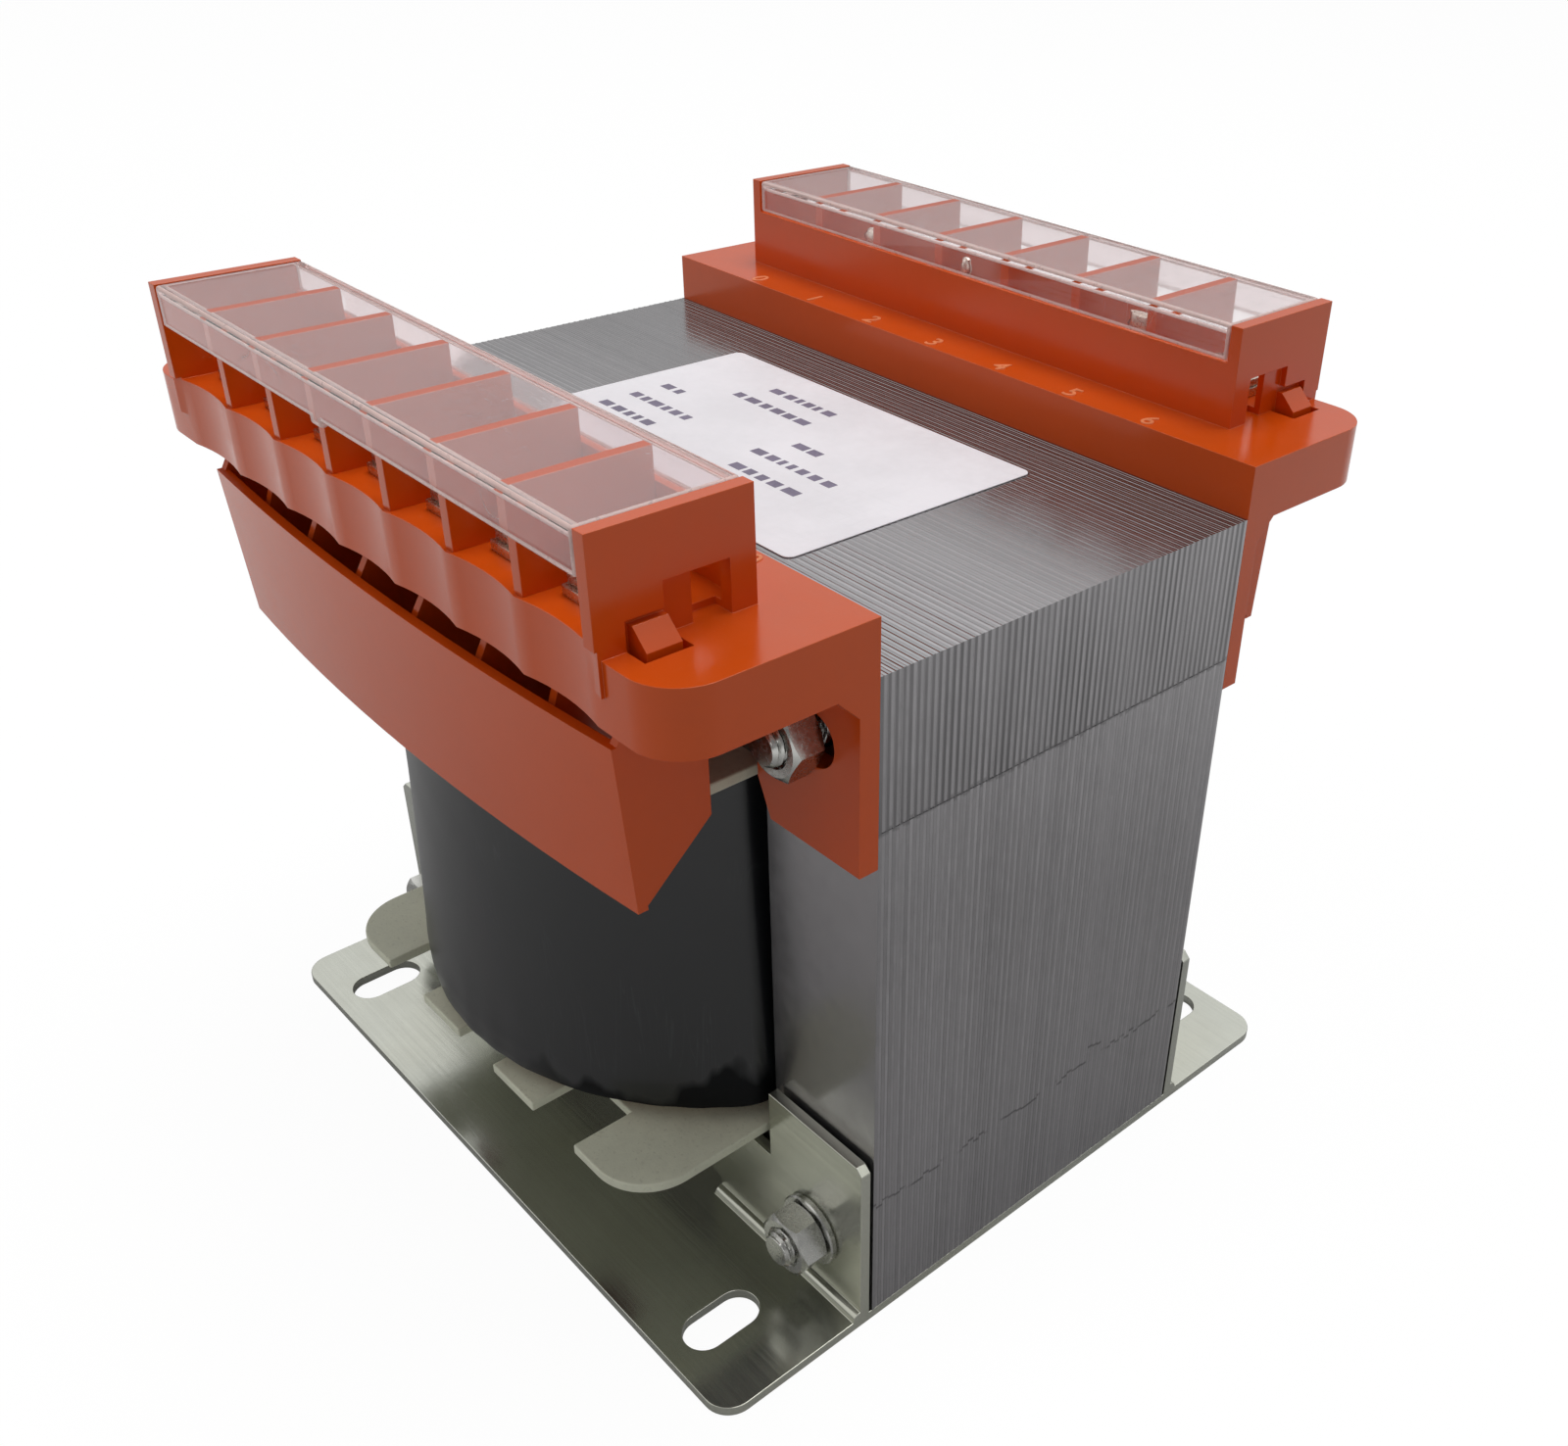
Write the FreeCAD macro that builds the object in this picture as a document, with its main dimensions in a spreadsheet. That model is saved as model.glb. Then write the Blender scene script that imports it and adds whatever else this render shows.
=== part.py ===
import FreeCAD, Part
import math
import os
from types import SimpleNamespace

import Sketcher

# Laminated chassis transformer, millimetres.
# The origin is the bottom centre of the base plate. +X runs along the terminal blocks,
# the front block is at -Y and +Z is up.

SIZES = {
    # Core of E and I laminations
    "yoke_width": 19.0,
    "stack_depth": 59.0,
    "hole_inset": 9.5,
    # Base plate with upright tabs
    "plate_thickness": 1.5,
    "plate_depth": 107.2,
    "plate_corner_radius": 3.8,
    "slot_width": 5.8,
    "slot_length": 11.0,
    "slot_side_inset": 12.0,
    "slot_end_inset": 8.6,
    "tab_gap": 0.5,
    "tab_ear_width": 18.1,
    "tab_height": 28.5,
    "tab_foot_width": 31.6,
    "tab_foot_height": 17.5,
    "tab_notch_width": 1.9,
    "tab_notch_height": 2.6,
    "tab_bend_radius": 1.2,
    "tab_corner_cut": 1.0,
    # Bolts, nuts and washers
    "bolt_radius": 2.5,
    "bolt_clearance": 0.25,
    "bolt_past_nut": 1.2,
    "bolt_point_chamfer": 0.5,
    "thread_clearance": 0.05,
    "nut_width": 8.0,
    "nut_height": 4.0,
    "head_height": 3.5,
    "washer_radius": 5.0,
    "washer_thickness": 1.0,
    # Coil former
    "former_clearance": 0.2,
    "former_wall": 1.2,
    "former_flange": 1.5,
    "former_overhang": 22.3,
    "former_corner_radius": 8.0,
    "centre_notch_half": 4.5,
    "centre_notch_depth": 2.8,
    "side_notch_inner": 14.5,
    "side_notch_outer": 24.3,
    "side_notch_depth": 8.8,
    # Windings, from the tube outwards
    "layer_gap": 0.1,
    "tube_corner_radius": 1.5,
    "primary_thickness": 7.9,
    "primary_overhang": 11.8,
    "primary_bulge_radius": 70.0,
    "primary_corner_radius": 5.0,
    "insulation_thickness": 0.5,
    "coil_side_gap": 0.7,
    "coil_overhang": 22.5,
    "coil_bulge_radius": 44.0,
    "coil_corner_radius": 6.0,
    "wrap_thickness": 0.5,
    "wrap_bare_band": 3.0,
    "winding_end_gap": 0.2,
    # Terminal block: flange and arms
    "block_flange_reach": 25.2,
    "block_flange_height": 7.7,
    "block_flange_radius": 6.0,
    "block_above_bolt": 8.5,
    "scallop_depth": 0.7,
    "arm_width": 17.0,
    "arm_past_bolt": 9.5,
    "arm_thickness": 2.65,
    "arm_below_bolt": 14.0,
    "arm_corner_rise": 4.8,
    "arm_corner_run": 2.1,
    "arm_gusset": 2.8,
    "arm_slot_length": 11.0,
    "arm_slot_height": 6.5,
    # Terminal block: housing with seven ways
    "way_pitch": 13.05,
    "housing_end_wall": 1.72,
    "housing_inner_setback": 7.4,
    "housing_reach": 25.9,
    "housing_height": 12.6,
    "housing_inner_wall": 1.5,
    "housing_wall_height": 8.0,
    "way_floor_rise": 0.8,
    "divider_thickness": 1.5,
    "window_height": 5.8,
    "window_width": 4.0,
    "window_setback": 10.5,
    "recess_width": 3.6,
    "recess_depth": 0.8,
    "lug_width": 4.0,
    "lug_height": 4.0,
    "lug_reach": 2.1,
    "lug_drop": 1.6,
    "lug_slope": 2.0,
    "lug_clearance": 0.7,
    # Terminal block: wire duct below the flange
    "duct_half_width": 45.0,
    "duct_wall": 1.3,
    "duct_rib": 1.2,
    "duct_slit": 3.5,
    "duct_height": 20.6,
    "duct_top_reach": 25.7,
    "duct_top_bow": 2.0,
    "duct_bottom_reach": 24.7,
    "duct_bottom_bow": 2.4,
    "duct_end_inner": 12.5,
    "duct_end_drop": 15.9,
    "duct_rib_top_reach": 21.0,
    "duct_rib_clearance": 1.0,
    # Clear cover
    "cover_clearance": 0.2,
    "cover_thickness": 1.0,
    "cover_outer_lip": 5.0,
    "cover_nub_width": 2.6,
    "cover_nub_height": 0.8,
    "cover_nub_offset": 5.0,
    # Terminals in the ways
    "contact_width": 8.0,
    "contact_thickness": 1.2,
    "contact_inner": 12.8,
    "contact_outer": 21.5,
    "contact_tail_width": 5.0,
    "contact_tail_drop": 7.5,
    "contact_slot_clearance": 0.2,
    "screw_setback": 17.3,
    "screw_radius": 1.75,
    "screw_head_radius": 3.2,
    "screw_head_height": 2.2,
    "screw_depth": 4.0,
    "screw_slot_width": 0.8,
    "screw_slot_depth": 0.9,
    "clamp_width": 7.4,
    "clamp_thickness": 1.0,
    # Leads and lead ends
    "lead_radius": 0.8,
    "lead_setback": 15.2,
    "lead_overlap": 3.0,
    "lead_end_radius": 0.6,
    "lead_end_height": 9.4,
    "lead_end_setback": 10.0,
    "lead_end_left_offset": 4.5,
    "lead_end_middle_offset": -1.9,
    "lead_end_right_offset": 4.1,
    # Label on the top yoke
    "label_length": 60.0,
    "label_width": 39.5,
    "label_thickness": 0.15,
    "label_corner_radius": 1.2,
    "label_offset": 0.5,
}


class Value:
    """A number together with the sheet formula that gives it."""

    def __init__(self, number, formula):
        self.number = number
        self.formula = formula

    def __add__(self, other):
        other = as_value(other)
        return Value(self.number + other.number, "({} + {})".format(self.formula, other.formula))

    def __radd__(self, other):
        return as_value(other) + self

    def __sub__(self, other):
        other = as_value(other)
        return Value(self.number - other.number, "({} - {})".format(self.formula, other.formula))

    def __rsub__(self, other):
        return as_value(other) - self

    def __mul__(self, other):
        other = as_value(other)
        return Value(self.number * other.number, "({} * {})".format(self.formula, other.formula))

    def __rmul__(self, other):
        return as_value(other) * self

    def __truediv__(self, other):
        other = as_value(other)
        return Value(self.number / other.number, "({} / {})".format(self.formula, other.formula))

    def __neg__(self):
        return Value(-self.number, "(-1 * {})".format(self.formula))


def as_value(given):
    """A plain number is its own formula."""
    if isinstance(given, Value):
        return given
    return Value(float(given), "({})".format(float(given)))


def root(given):
    return Value(math.sqrt(given.number), "sqrt({})".format(given.formula))


doc = FreeCAD.newDocument("ChassisTransformer")
sheet = doc.addObject("Spreadsheet::Sheet", "Sizes")
for row, (word, number) in enumerate(SIZES.items(), start=1):
    sheet.set("A{}".format(row), word)
    sheet.set("B{}".format(row), str(number))
    sheet.setAlias("B{}".format(row), word)
doc.recompute()
size = SimpleNamespace(**{word: Value(number, "Sizes." + word) for word, number in SIZES.items()})

# Where the main faces lie, all from the sheet
unit = size.yoke_width
core_half = 3 * unit
core_bottom = size.plate_thickness
core_joint = core_bottom + 4 * unit
core_top = core_bottom + 5 * unit
core_face = size.stack_depth / 2
window_bottom = core_bottom + unit
bolt_side = core_half - size.hole_inset
bolt_low = core_bottom + size.hole_inset
bolt_high = core_top - size.hole_inset
hole_radius = size.bolt_radius + size.bolt_clearance

FRAMES = {
    "XY": FreeCAD.Rotation(),
    "XZ": FreeCAD.Rotation(FreeCAD.Vector(1, 0, 0), 90),
    "YZ": FreeCAD.Rotation(FreeCAD.Vector(1, 1, 1), 120),
}
NORMALS = {
    "XY": FreeCAD.Vector(0, 0, 1),
    "XZ": FreeCAD.Vector(0, -1, 0),
    "YZ": FreeCAD.Vector(1, 0, 0),
}


def bind(thing, name, value):
    thing.setExpression(name, as_value(value).formula)


def fix_point(sketch, geometry, place, across, up):
    """Ties one point of a sketch to the origin by its two sheet distances."""
    for kind, axis, value in (("DistanceX", -2, across), ("DistanceY", -1, up)):
        value = as_value(value)
        if value.number == 0:
            sketch.addConstraint(Sketcher.Constraint("PointOnObject", geometry, place, axis))
            continue
        index = sketch.addConstraint(Sketcher.Constraint(kind, -1, 1, geometry, place, value.number))
        bind(sketch, "Constraints[{}]".format(index), value)


def add_wire(sketch, points):
    """Closed outline. A point is (across, up), with (radius, turn) added where an arc leaves it."""
    spots = [FreeCAD.Vector(as_value(p[0]).number, as_value(p[1]).number, 0) for p in points]
    made = []
    for number, point in enumerate(points):
        first = spots[number]
        second = spots[(number + 1) % len(points)]
        if len(point) == 2:
            made.append((sketch.addGeometry(Part.LineSegment(first, second), False), 1, 2))
            continue
        radius = as_value(point[2])
        chord = second - first
        side = FreeCAD.Vector(-chord.y, chord.x, 0)
        side.normalize()
        sag = math.sqrt(max(radius.number ** 2 - chord.Length ** 2 / 4, 0.0))
        left = point[3] == "left"
        centre = (first + second) * 0.5 + side * (sag if left else -sag)
        begin, finish = (first, second) if left else (second, first)
        begin_angle = math.atan2(begin.y - centre.y, begin.x - centre.x)
        finish_angle = math.atan2(finish.y - centre.y, finish.x - centre.x)
        if finish_angle < begin_angle:
            finish_angle += 2 * math.pi
        circle = Part.Circle(centre, FreeCAD.Vector(0, 0, 1), radius.number)
        index = sketch.addGeometry(Part.ArcOfCircle(circle, begin_angle, finish_angle), False)
        made.append((index, 1, 2) if left else (index, 2, 1))
    for number, (index, start, end) in enumerate(made):
        following = made[(number + 1) % len(made)]
        sketch.addConstraint(Sketcher.Constraint("Coincident", index, end, following[0], following[1]))
    for number, (index, start, end) in enumerate(made):
        fix_point(sketch, index, start, points[number][0], points[number][1])
        if len(points[number]) == 2:
            continue
        radius = as_value(points[number][2])
        chord = spots[(number + 1) % len(points)] - spots[number]
        if chord.Length / 2 > 0.9999 * radius.number:
            # A half circle is held by its centre, level with its ends
            upright = abs(chord.y) > abs(chord.x)
            kind, given = ("DistanceX", points[number][0]) if upright else ("DistanceY", points[number][1])
            given = as_value(given)
            held = sketch.addConstraint(Sketcher.Constraint(kind, -1, 1, index, 3, given.number))
            bind(sketch, "Constraints[{}]".format(held), given)
            continue
        held = sketch.addConstraint(Sketcher.Constraint("Radius", index, radius.number))
        bind(sketch, "Constraints[{}]".format(held), radius)


def add_circle(sketch, across, up, radius):
    centre = FreeCAD.Vector(as_value(across).number, as_value(up).number, 0)
    index = sketch.addGeometry(Part.Circle(centre, FreeCAD.Vector(0, 0, 1), radius.number), False)
    fix_point(sketch, index, 3, across, up)
    held = sketch.addConstraint(Sketcher.Constraint("Radius", index, radius.number))
    bind(sketch, "Constraints[{}]".format(held), radius)


def fill_sketch(sketch, wires, circles):
    for wire in wires:
        add_wire(sketch, wire)
    for circle in circles:
        add_circle(sketch, *circle)


def body_named(name):
    body = doc.addObject("PartDesign::Body", name)
    body.Label = name
    return body


def body_sketch(body, name, frame, offset, wires, circles=()):
    """Sketch on one of the body's own origin planes, moved along the plane's normal."""
    sketch = body.newObject("Sketcher::SketchObject", name)
    plane = [f for f in body.Origin.OriginFeatures if f.Role == frame + "_Plane"][0]
    sketch.AttachmentSupport = [(plane, "")]
    sketch.MapMode = "FlatFace"
    bind(sketch, "AttachmentOffset.Base.z", offset)
    fill_sketch(sketch, wires, circles)
    return sketch


def pad(body, name, sketch, length, symmetric=False, backwards=False):
    feature = body.newObject("PartDesign::Pad", name)
    feature.Profile = sketch
    bind(feature, "Length", length)
    feature.SideType = "Symmetric" if symmetric else "One side"
    feature.Reversed = backwards
    sketch.Visibility = False
    return feature


def pocket(body, name, sketch, length, backwards=False):
    feature = body.newObject("PartDesign::Pocket", name)
    feature.Profile = sketch
    bind(feature, "Length", length)
    feature.Reversed = backwards
    sketch.Visibility = False
    return feature


def mirrored(body, name, feature, frame):
    twin = body.newObject("PartDesign::Mirrored", name)
    twin.Originals = [feature]
    plane = [f for f in body.Origin.OriginFeatures if f.Role == frame + "_Plane"][0]
    twin.MirrorPlane = (plane, [""])
    body.Tip = twin
    return twin


def extrusion(name, frame, offset, wires, length, circles=()):
    """Prism of a free sketch, from the offset along the frame's normal."""
    sketch = doc.addObject("Sketcher::SketchObject", name + "_sketch")
    normal = NORMALS[frame]
    sketch.Placement = FreeCAD.Placement(FreeCAD.Vector(), FRAMES[frame])
    for word, part in (("x", normal.x), ("y", normal.y), ("z", normal.z)):
        if part:
            bind(sketch, ".Placement.Base." + word, as_value(offset) * part)
    fill_sketch(sketch, wires, circles)
    solid = doc.addObject("Part::Extrusion", name)
    solid.Base = sketch
    solid.DirMode = "Custom"
    solid.Dir = normal
    solid.Solid = True
    bind(solid, "LengthFwd", length)
    return solid


def box(name, left, right, back, front, low, high):
    """Box between sheet faces: left and right along X, back and front along Y, low and high along Z."""
    solid = doc.addObject("Part::Box", name)
    for side, word, near, far in (
        ("Length", "x", left, right),
        ("Width", "y", back, front),
        ("Height", "z", low, high),
    ):
        bind(solid, side, as_value(far) - as_value(near))
        bind(solid, ".Placement.Base." + word, near)
    return solid


def rod(name, radius, length, across, along, up, direction):
    """Round bar from (across, along, up) in +X, +Y or +Z."""
    solid = doc.addObject("Part::Cylinder", name)
    turns = {
        "X": FreeCAD.Rotation(FreeCAD.Vector(0, 1, 0), 90),
        "Y": FreeCAD.Rotation(FreeCAD.Vector(1, 0, 0), -90),
        "Z": FreeCAD.Rotation(),
    }
    solid.Placement = FreeCAD.Placement(FreeCAD.Vector(), turns[direction])
    bind(solid, "Radius", radius)
    bind(solid, "Height", length)
    for word, value in (("x", across), ("y", along), ("z", up)):
        bind(solid, ".Placement.Base." + word, value)
    return solid


def hexagon(name, width, length, across, along, up):
    """Six-sided bar along +Y, measured across its flats, flats at the top and bottom."""
    solid = doc.addObject("Part::Prism", name)
    turn = FreeCAD.Rotation(FreeCAD.Vector(1, 0, 0), -90)
    solid.Placement = FreeCAD.Placement(FreeCAD.Vector(), turn)
    solid.Polygon = 6
    bind(solid, "Circumradius", width / root(as_value(3)))
    bind(solid, "Height", length)
    for word, value in (("x", across), ("y", along), ("z", up)):
        bind(solid, ".Placement.Base." + word, value)
    return solid


def union(name, shapes):
    joined = doc.addObject("Part::MultiFuse", name)
    joined.Shapes = shapes
    joined.Refine = True
    return joined


def cut(name, base, tool):
    left = doc.addObject("Part::Cut", name)
    left.Base = base
    left.Tool = tool
    left.Refine = True
    return left


def rectangle(left, right, low, high):
    return [(left, low), (right, low), (right, high), (left, high)]


def rounded_rectangle(half_across, half_up, radius, shift=0):
    shift = as_value(shift)
    return [
        (shift + half_across, radius - half_up),
        (shift + half_across, half_up - radius, radius, "left"),
        (shift + half_across - radius, half_up),
        (shift + radius - half_across, half_up, radius, "left"),
        (shift - half_across, half_up - radius),
        (shift - half_across, radius - half_up, radius, "left"),
        (shift + radius - half_across, -half_up),
        (shift + half_across - radius, -half_up, radius, "left"),
    ]


nodes = {}

# Base plate: four corner slots that run along Y and four tabs that stand at the core's faces
plate = body_named("base_plate")
plate_half_depth = size.plate_depth / 2
plate_pad = pad(
    plate,
    "plate_sheet",
    body_sketch(
        plate,
        "plate_outline",
        "XY",
        0,
        [rounded_rectangle(core_half, plate_half_depth, size.plate_corner_radius)],
    ),
    size.plate_thickness,
)
slot_straight = (size.slot_length - size.slot_width) / 2
slot_wires = []
for side in (-1, 1):
    for end in (-1, 1):
        slot_x = side * (core_half - size.slot_side_inset)
        slot_y = end * (plate_half_depth - size.slot_end_inset)
        slot_r = size.slot_width / 2
        slot_wires.append([
            (slot_x + slot_r, slot_y - slot_straight),
            (slot_x + slot_r, slot_y + slot_straight, slot_r, "left"),
            (slot_x - slot_r, slot_y + slot_straight),
            (slot_x - slot_r, slot_y - slot_straight, slot_r, "left"),
        ])
pocket(
    plate,
    "plate_slots",
    body_sketch(plate, "slot_outlines", "XY", size.plate_thickness, slot_wires),
    size.plate_thickness,
)
tab_face = core_face + size.tab_gap
tab_outer = tab_face + size.plate_thickness
ear_inner = core_half - size.tab_ear_width
foot_inner = core_half - size.tab_foot_width
tab_wires = []
for side in (-1, 1):
    tab = [
        (side * core_half, size.plate_thickness / 2),
        (side * core_half, size.tab_height - size.tab_corner_cut),
        (side * (core_half - size.tab_corner_cut), size.tab_height),
        (side * ear_inner, size.tab_height),
        (side * ear_inner, size.tab_foot_height),
        (side * foot_inner, size.tab_foot_height),
        (side * foot_inner, size.plate_thickness / 2),
    ]
    tab_wires.append(tab if side > 0 else tab[::-1])
front_tabs = pad(
    plate,
    "front_tabs",
    body_sketch(
        plate,
        "tab_outlines",
        "XZ",
        tab_face,
        tab_wires,
        [(-bolt_side, bolt_low, hole_radius), (bolt_side, bolt_low, hole_radius)],
    ),
    size.plate_thickness,
)
mirrored(plate, "rear_tabs", front_tabs, "XZ")
bend = size.tab_bend_radius
for side, word in ((-1, "left"), (1, "right")):
    low_x = foot_inner if side > 0 else -core_half
    bend_pad = pad(
        plate,
        word + "_bend",
        body_sketch(
            plate,
            word + "_bend_section",
            "YZ",
            low_x,
            [[
                (-tab_outer + bend / 2, size.plate_thickness / 2),
                (-tab_outer + bend / 2, size.plate_thickness + bend),
                (-tab_outer, size.plate_thickness + bend, bend, "left"),
                (-tab_outer - bend, size.plate_thickness),
                (-tab_outer - bend, size.plate_thickness / 2),
            ]],
        ),
        size.tab_foot_width,
    )
    mirrored(plate, word + "_bend_rear", bend_pad, "XZ")
notch_wires = []
for side in (-1, 1):
    notch_left = foot_inner if side > 0 else -foot_inner - size.tab_notch_width
    notch_wires.append(rectangle(
        notch_left,
        notch_left + size.tab_notch_width,
        size.plate_thickness,
        size.plate_thickness + size.tab_notch_height,
    ))
notches = pocket(
    plate,
    "bend_notches",
    body_sketch(plate, "notch_outlines", "XZ", tab_face - size.tab_gap / 2, notch_wires),
    size.plate_thickness + size.tab_gap + bend,
    True,
)
mirrored(plate, "bend_notches_rear", notches, "XZ")
nodes["base_plate"] = plate

# Core: E laminations below, I laminations above, butt joint between them
e_stack = body_named("core_e_stack")
pad(
    e_stack,
    "e_stack_pad",
    body_sketch(
        e_stack,
        "e_outline",
        "XZ",
        0,
        [[
            (-core_half, core_bottom),
            (core_half, core_bottom),
            (core_half, core_joint),
            (2 * unit, core_joint),
            (2 * unit, window_bottom),
            (unit, window_bottom),
            (unit, core_joint),
            (-unit, core_joint),
            (-unit, window_bottom),
            (-2 * unit, window_bottom),
            (-2 * unit, core_joint),
            (-core_half, core_joint),
        ]],
        [(-bolt_side, bolt_low, hole_radius), (bolt_side, bolt_low, hole_radius)],
    ),
    size.stack_depth,
    True,
)
nodes["core_e_stack"] = e_stack

i_stack = body_named("core_i_stack")
pad(
    i_stack,
    "i_stack_pad",
    body_sketch(
        i_stack,
        "i_outline",
        "XZ",
        0,
        [rectangle(-core_half, core_half, core_joint, core_top)],
        [(-bolt_side, bolt_high, hole_radius), (bolt_side, bolt_high, hole_radius)],
    ),
    size.stack_depth,
    True,
)
nodes["core_i_stack"] = i_stack

# Coil former: tube round the centre leg, flanges with tongues and notches
former = body_named("coil_former")
hole_across = unit + size.former_clearance
hole_along = core_face + size.former_clearance
tube_across = hole_across + size.former_wall
tube_along = hole_along + size.former_wall
former_hole = rectangle(-hole_across, hole_across, -hole_along, hole_along)
pad(
    former,
    "former_tube",
    body_sketch(
        former,
        "tube_section",
        "XY",
        window_bottom,
        [rounded_rectangle(tube_across, tube_along, size.tube_corner_radius), former_hole],
    ),
    core_joint - window_bottom,
)
flange_half = 2 * unit - size.former_clearance
reach = core_face + size.former_overhang
turn = size.former_corner_radius
side_root = reach - size.side_notch_depth
centre_root = reach - size.centre_notch_depth


def flange_outline():
    right_front = [
        (size.centre_notch_half, -centre_root),
        (size.centre_notch_half, -reach),
        (size.side_notch_inner, -reach),
        (size.side_notch_inner, -side_root),
        (size.side_notch_outer, -side_root),
        (size.side_notch_outer, -reach),
        (flange_half - turn, -reach, turn, "left"),
        (flange_half, turn - reach),
    ]
    left_rear = [(-p[0], -p[1]) + tuple(p[2:]) for p in right_front]
    right_rear = [
        (flange_half, reach - turn, turn, "left"),
        (flange_half - turn, reach),
        (size.side_notch_outer, reach),
        (size.side_notch_outer, side_root),
        (size.side_notch_inner, side_root),
        (size.side_notch_inner, reach),
        (size.centre_notch_half, reach),
        (size.centre_notch_half, centre_root),
        (-size.centre_notch_half, centre_root),
    ]
    left_front = [(-p[0], -p[1]) + tuple(p[2:]) for p in right_rear]
    return right_front + right_rear + left_rear[1:] + left_front[:-1]


for word, level in (("lower", window_bottom), ("upper", core_joint - size.former_flange)):
    pad(
        former,
        word + "_flange",
        body_sketch(former, word + "_flange_outline", "XY", level, [flange_outline(), former_hole]),
        size.former_flange,
    )
nodes["coil_former"] = former


def coil_outline(half_width, reach_out, bulge, corner):
    """Side lines joined by a bulged end arc through two small tangent corner arcs."""
    centre_back = reach_out - bulge
    inner = bulge - corner
    run = half_width - corner
    rise = root(inner * inner - run * run)
    tangent_side = centre_back + rise
    tangent_x = run * bulge / inner
    tangent_y = centre_back + rise * bulge / inner
    return [
        (half_width, -tangent_side),
        (half_width, tangent_side, corner, "left"),
        (tangent_x, tangent_y, bulge, "left"),
        (-tangent_x, tangent_y, corner, "left"),
        (-half_width, tangent_side),
        (-half_width, -tangent_side, corner, "left"),
        (-tangent_x, -tangent_y, bulge, "left"),
        (tangent_x, -tangent_y, corner, "left"),
    ]


def coil_ring(name, low, high, outer, inner):
    ring = body_named(name)
    pad(ring, name + "_pad", body_sketch(ring, name + "_section", "XY", low, [outer, inner]), high - low)
    nodes[name] = ring


def shell_of(offset):
    """Outline of the finished coil, moved inwards by the offset."""
    return coil_outline(
        2 * unit - size.coil_side_gap - offset,
        core_face + size.coil_overhang - offset,
        size.coil_bulge_radius - offset,
        size.coil_corner_radius - offset,
    )


def primary_shell(offset):
    """Outline of the primary winding, moved outwards by the offset."""
    return coil_outline(
        primary_half + offset,
        core_face + size.primary_overhang + offset,
        size.primary_bulge_radius + offset,
        size.primary_corner_radius + offset,
    )


winding_low = window_bottom + size.former_flange
winding_high = core_joint - size.former_flange - size.winding_end_gap
# The outer winding and its wrap leave a bare margin above the lower flange
outer_low = winding_low + size.wrap_bare_band
primary_half = tube_across + size.layer_gap + size.primary_thickness
gap = size.layer_gap
coil_ring(
    "primary_winding",
    winding_low,
    winding_high,
    primary_shell(as_value(0)),
    rounded_rectangle(tube_across + gap, tube_along + gap, size.tube_corner_radius + gap),
)
coil_ring(
    "winding_insulation",
    winding_low,
    winding_high,
    primary_shell(gap + size.insulation_thickness),
    primary_shell(gap),
)
coil_ring(
    "secondary_winding",
    outer_low,
    winding_high,
    shell_of(size.wrap_thickness + gap),
    primary_shell(2 * gap + size.insulation_thickness),
)
coil_ring(
    "outer_wrap",
    outer_low,
    winding_high,
    shell_of(as_value(0)),
    shell_of(size.wrap_thickness),
)

# Terminal block: one moulding in the real object, kept here as block, dividers and wire duct.
# All three are built for the front and turned half round for the rear.
flange_low = bolt_high + size.block_above_bolt
flange_top = flange_low + size.block_flange_height
block_half = core_half
flange_front = core_face + size.block_flange_reach
housing_inner = core_face + size.housing_inner_setback
housing_front = core_face + size.housing_reach
housing_top = flange_top + size.housing_height
way_half = 3.5 * size.way_pitch
housing_half = way_half + size.housing_end_wall
way_floor = flange_top + size.way_floor_rise
lid_low = housing_top - size.cover_thickness
lip_inner = housing_front - size.cover_thickness
inner_wall_top = flange_top + size.housing_wall_height
divider_front = lip_inner - size.cover_clearance
way_inner = housing_inner + size.housing_inner_wall
screw_line = core_face + size.screw_setback
contact_back = core_face + size.contact_inner
contact_front = core_face + size.contact_outer
contact_top = way_floor + size.contact_thickness
tail_half = size.contact_tail_width / 2
tail_low = flange_low - size.contact_tail_drop
arm_outer = bolt_side + size.arm_past_bolt
arm_inner = arm_outer - size.arm_width
duct_top = flange_low - size.duct_slit
duct_low = duct_top - size.duct_height


def bow_wires(reach_out, bow, half, wall):
    """Closed section of the bowed duct wall: outer arc, inner arc and two short ends."""
    outer_radius = (half * half + bow * bow) / (2 * bow)
    end = core_face + reach_out - bow
    return [
        (-half, -end, outer_radius, "left"),
        (half, -end),
        (half, wall - end, outer_radius, "right"),
        (-half, wall - end),
    ]


def free_sketch(name, height, wires):
    sketch = doc.addObject("Sketcher::SketchObject", name)
    bind(sketch, ".Placement.Base.z", height)
    fill_sketch(sketch, wires, ())
    return sketch


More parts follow.
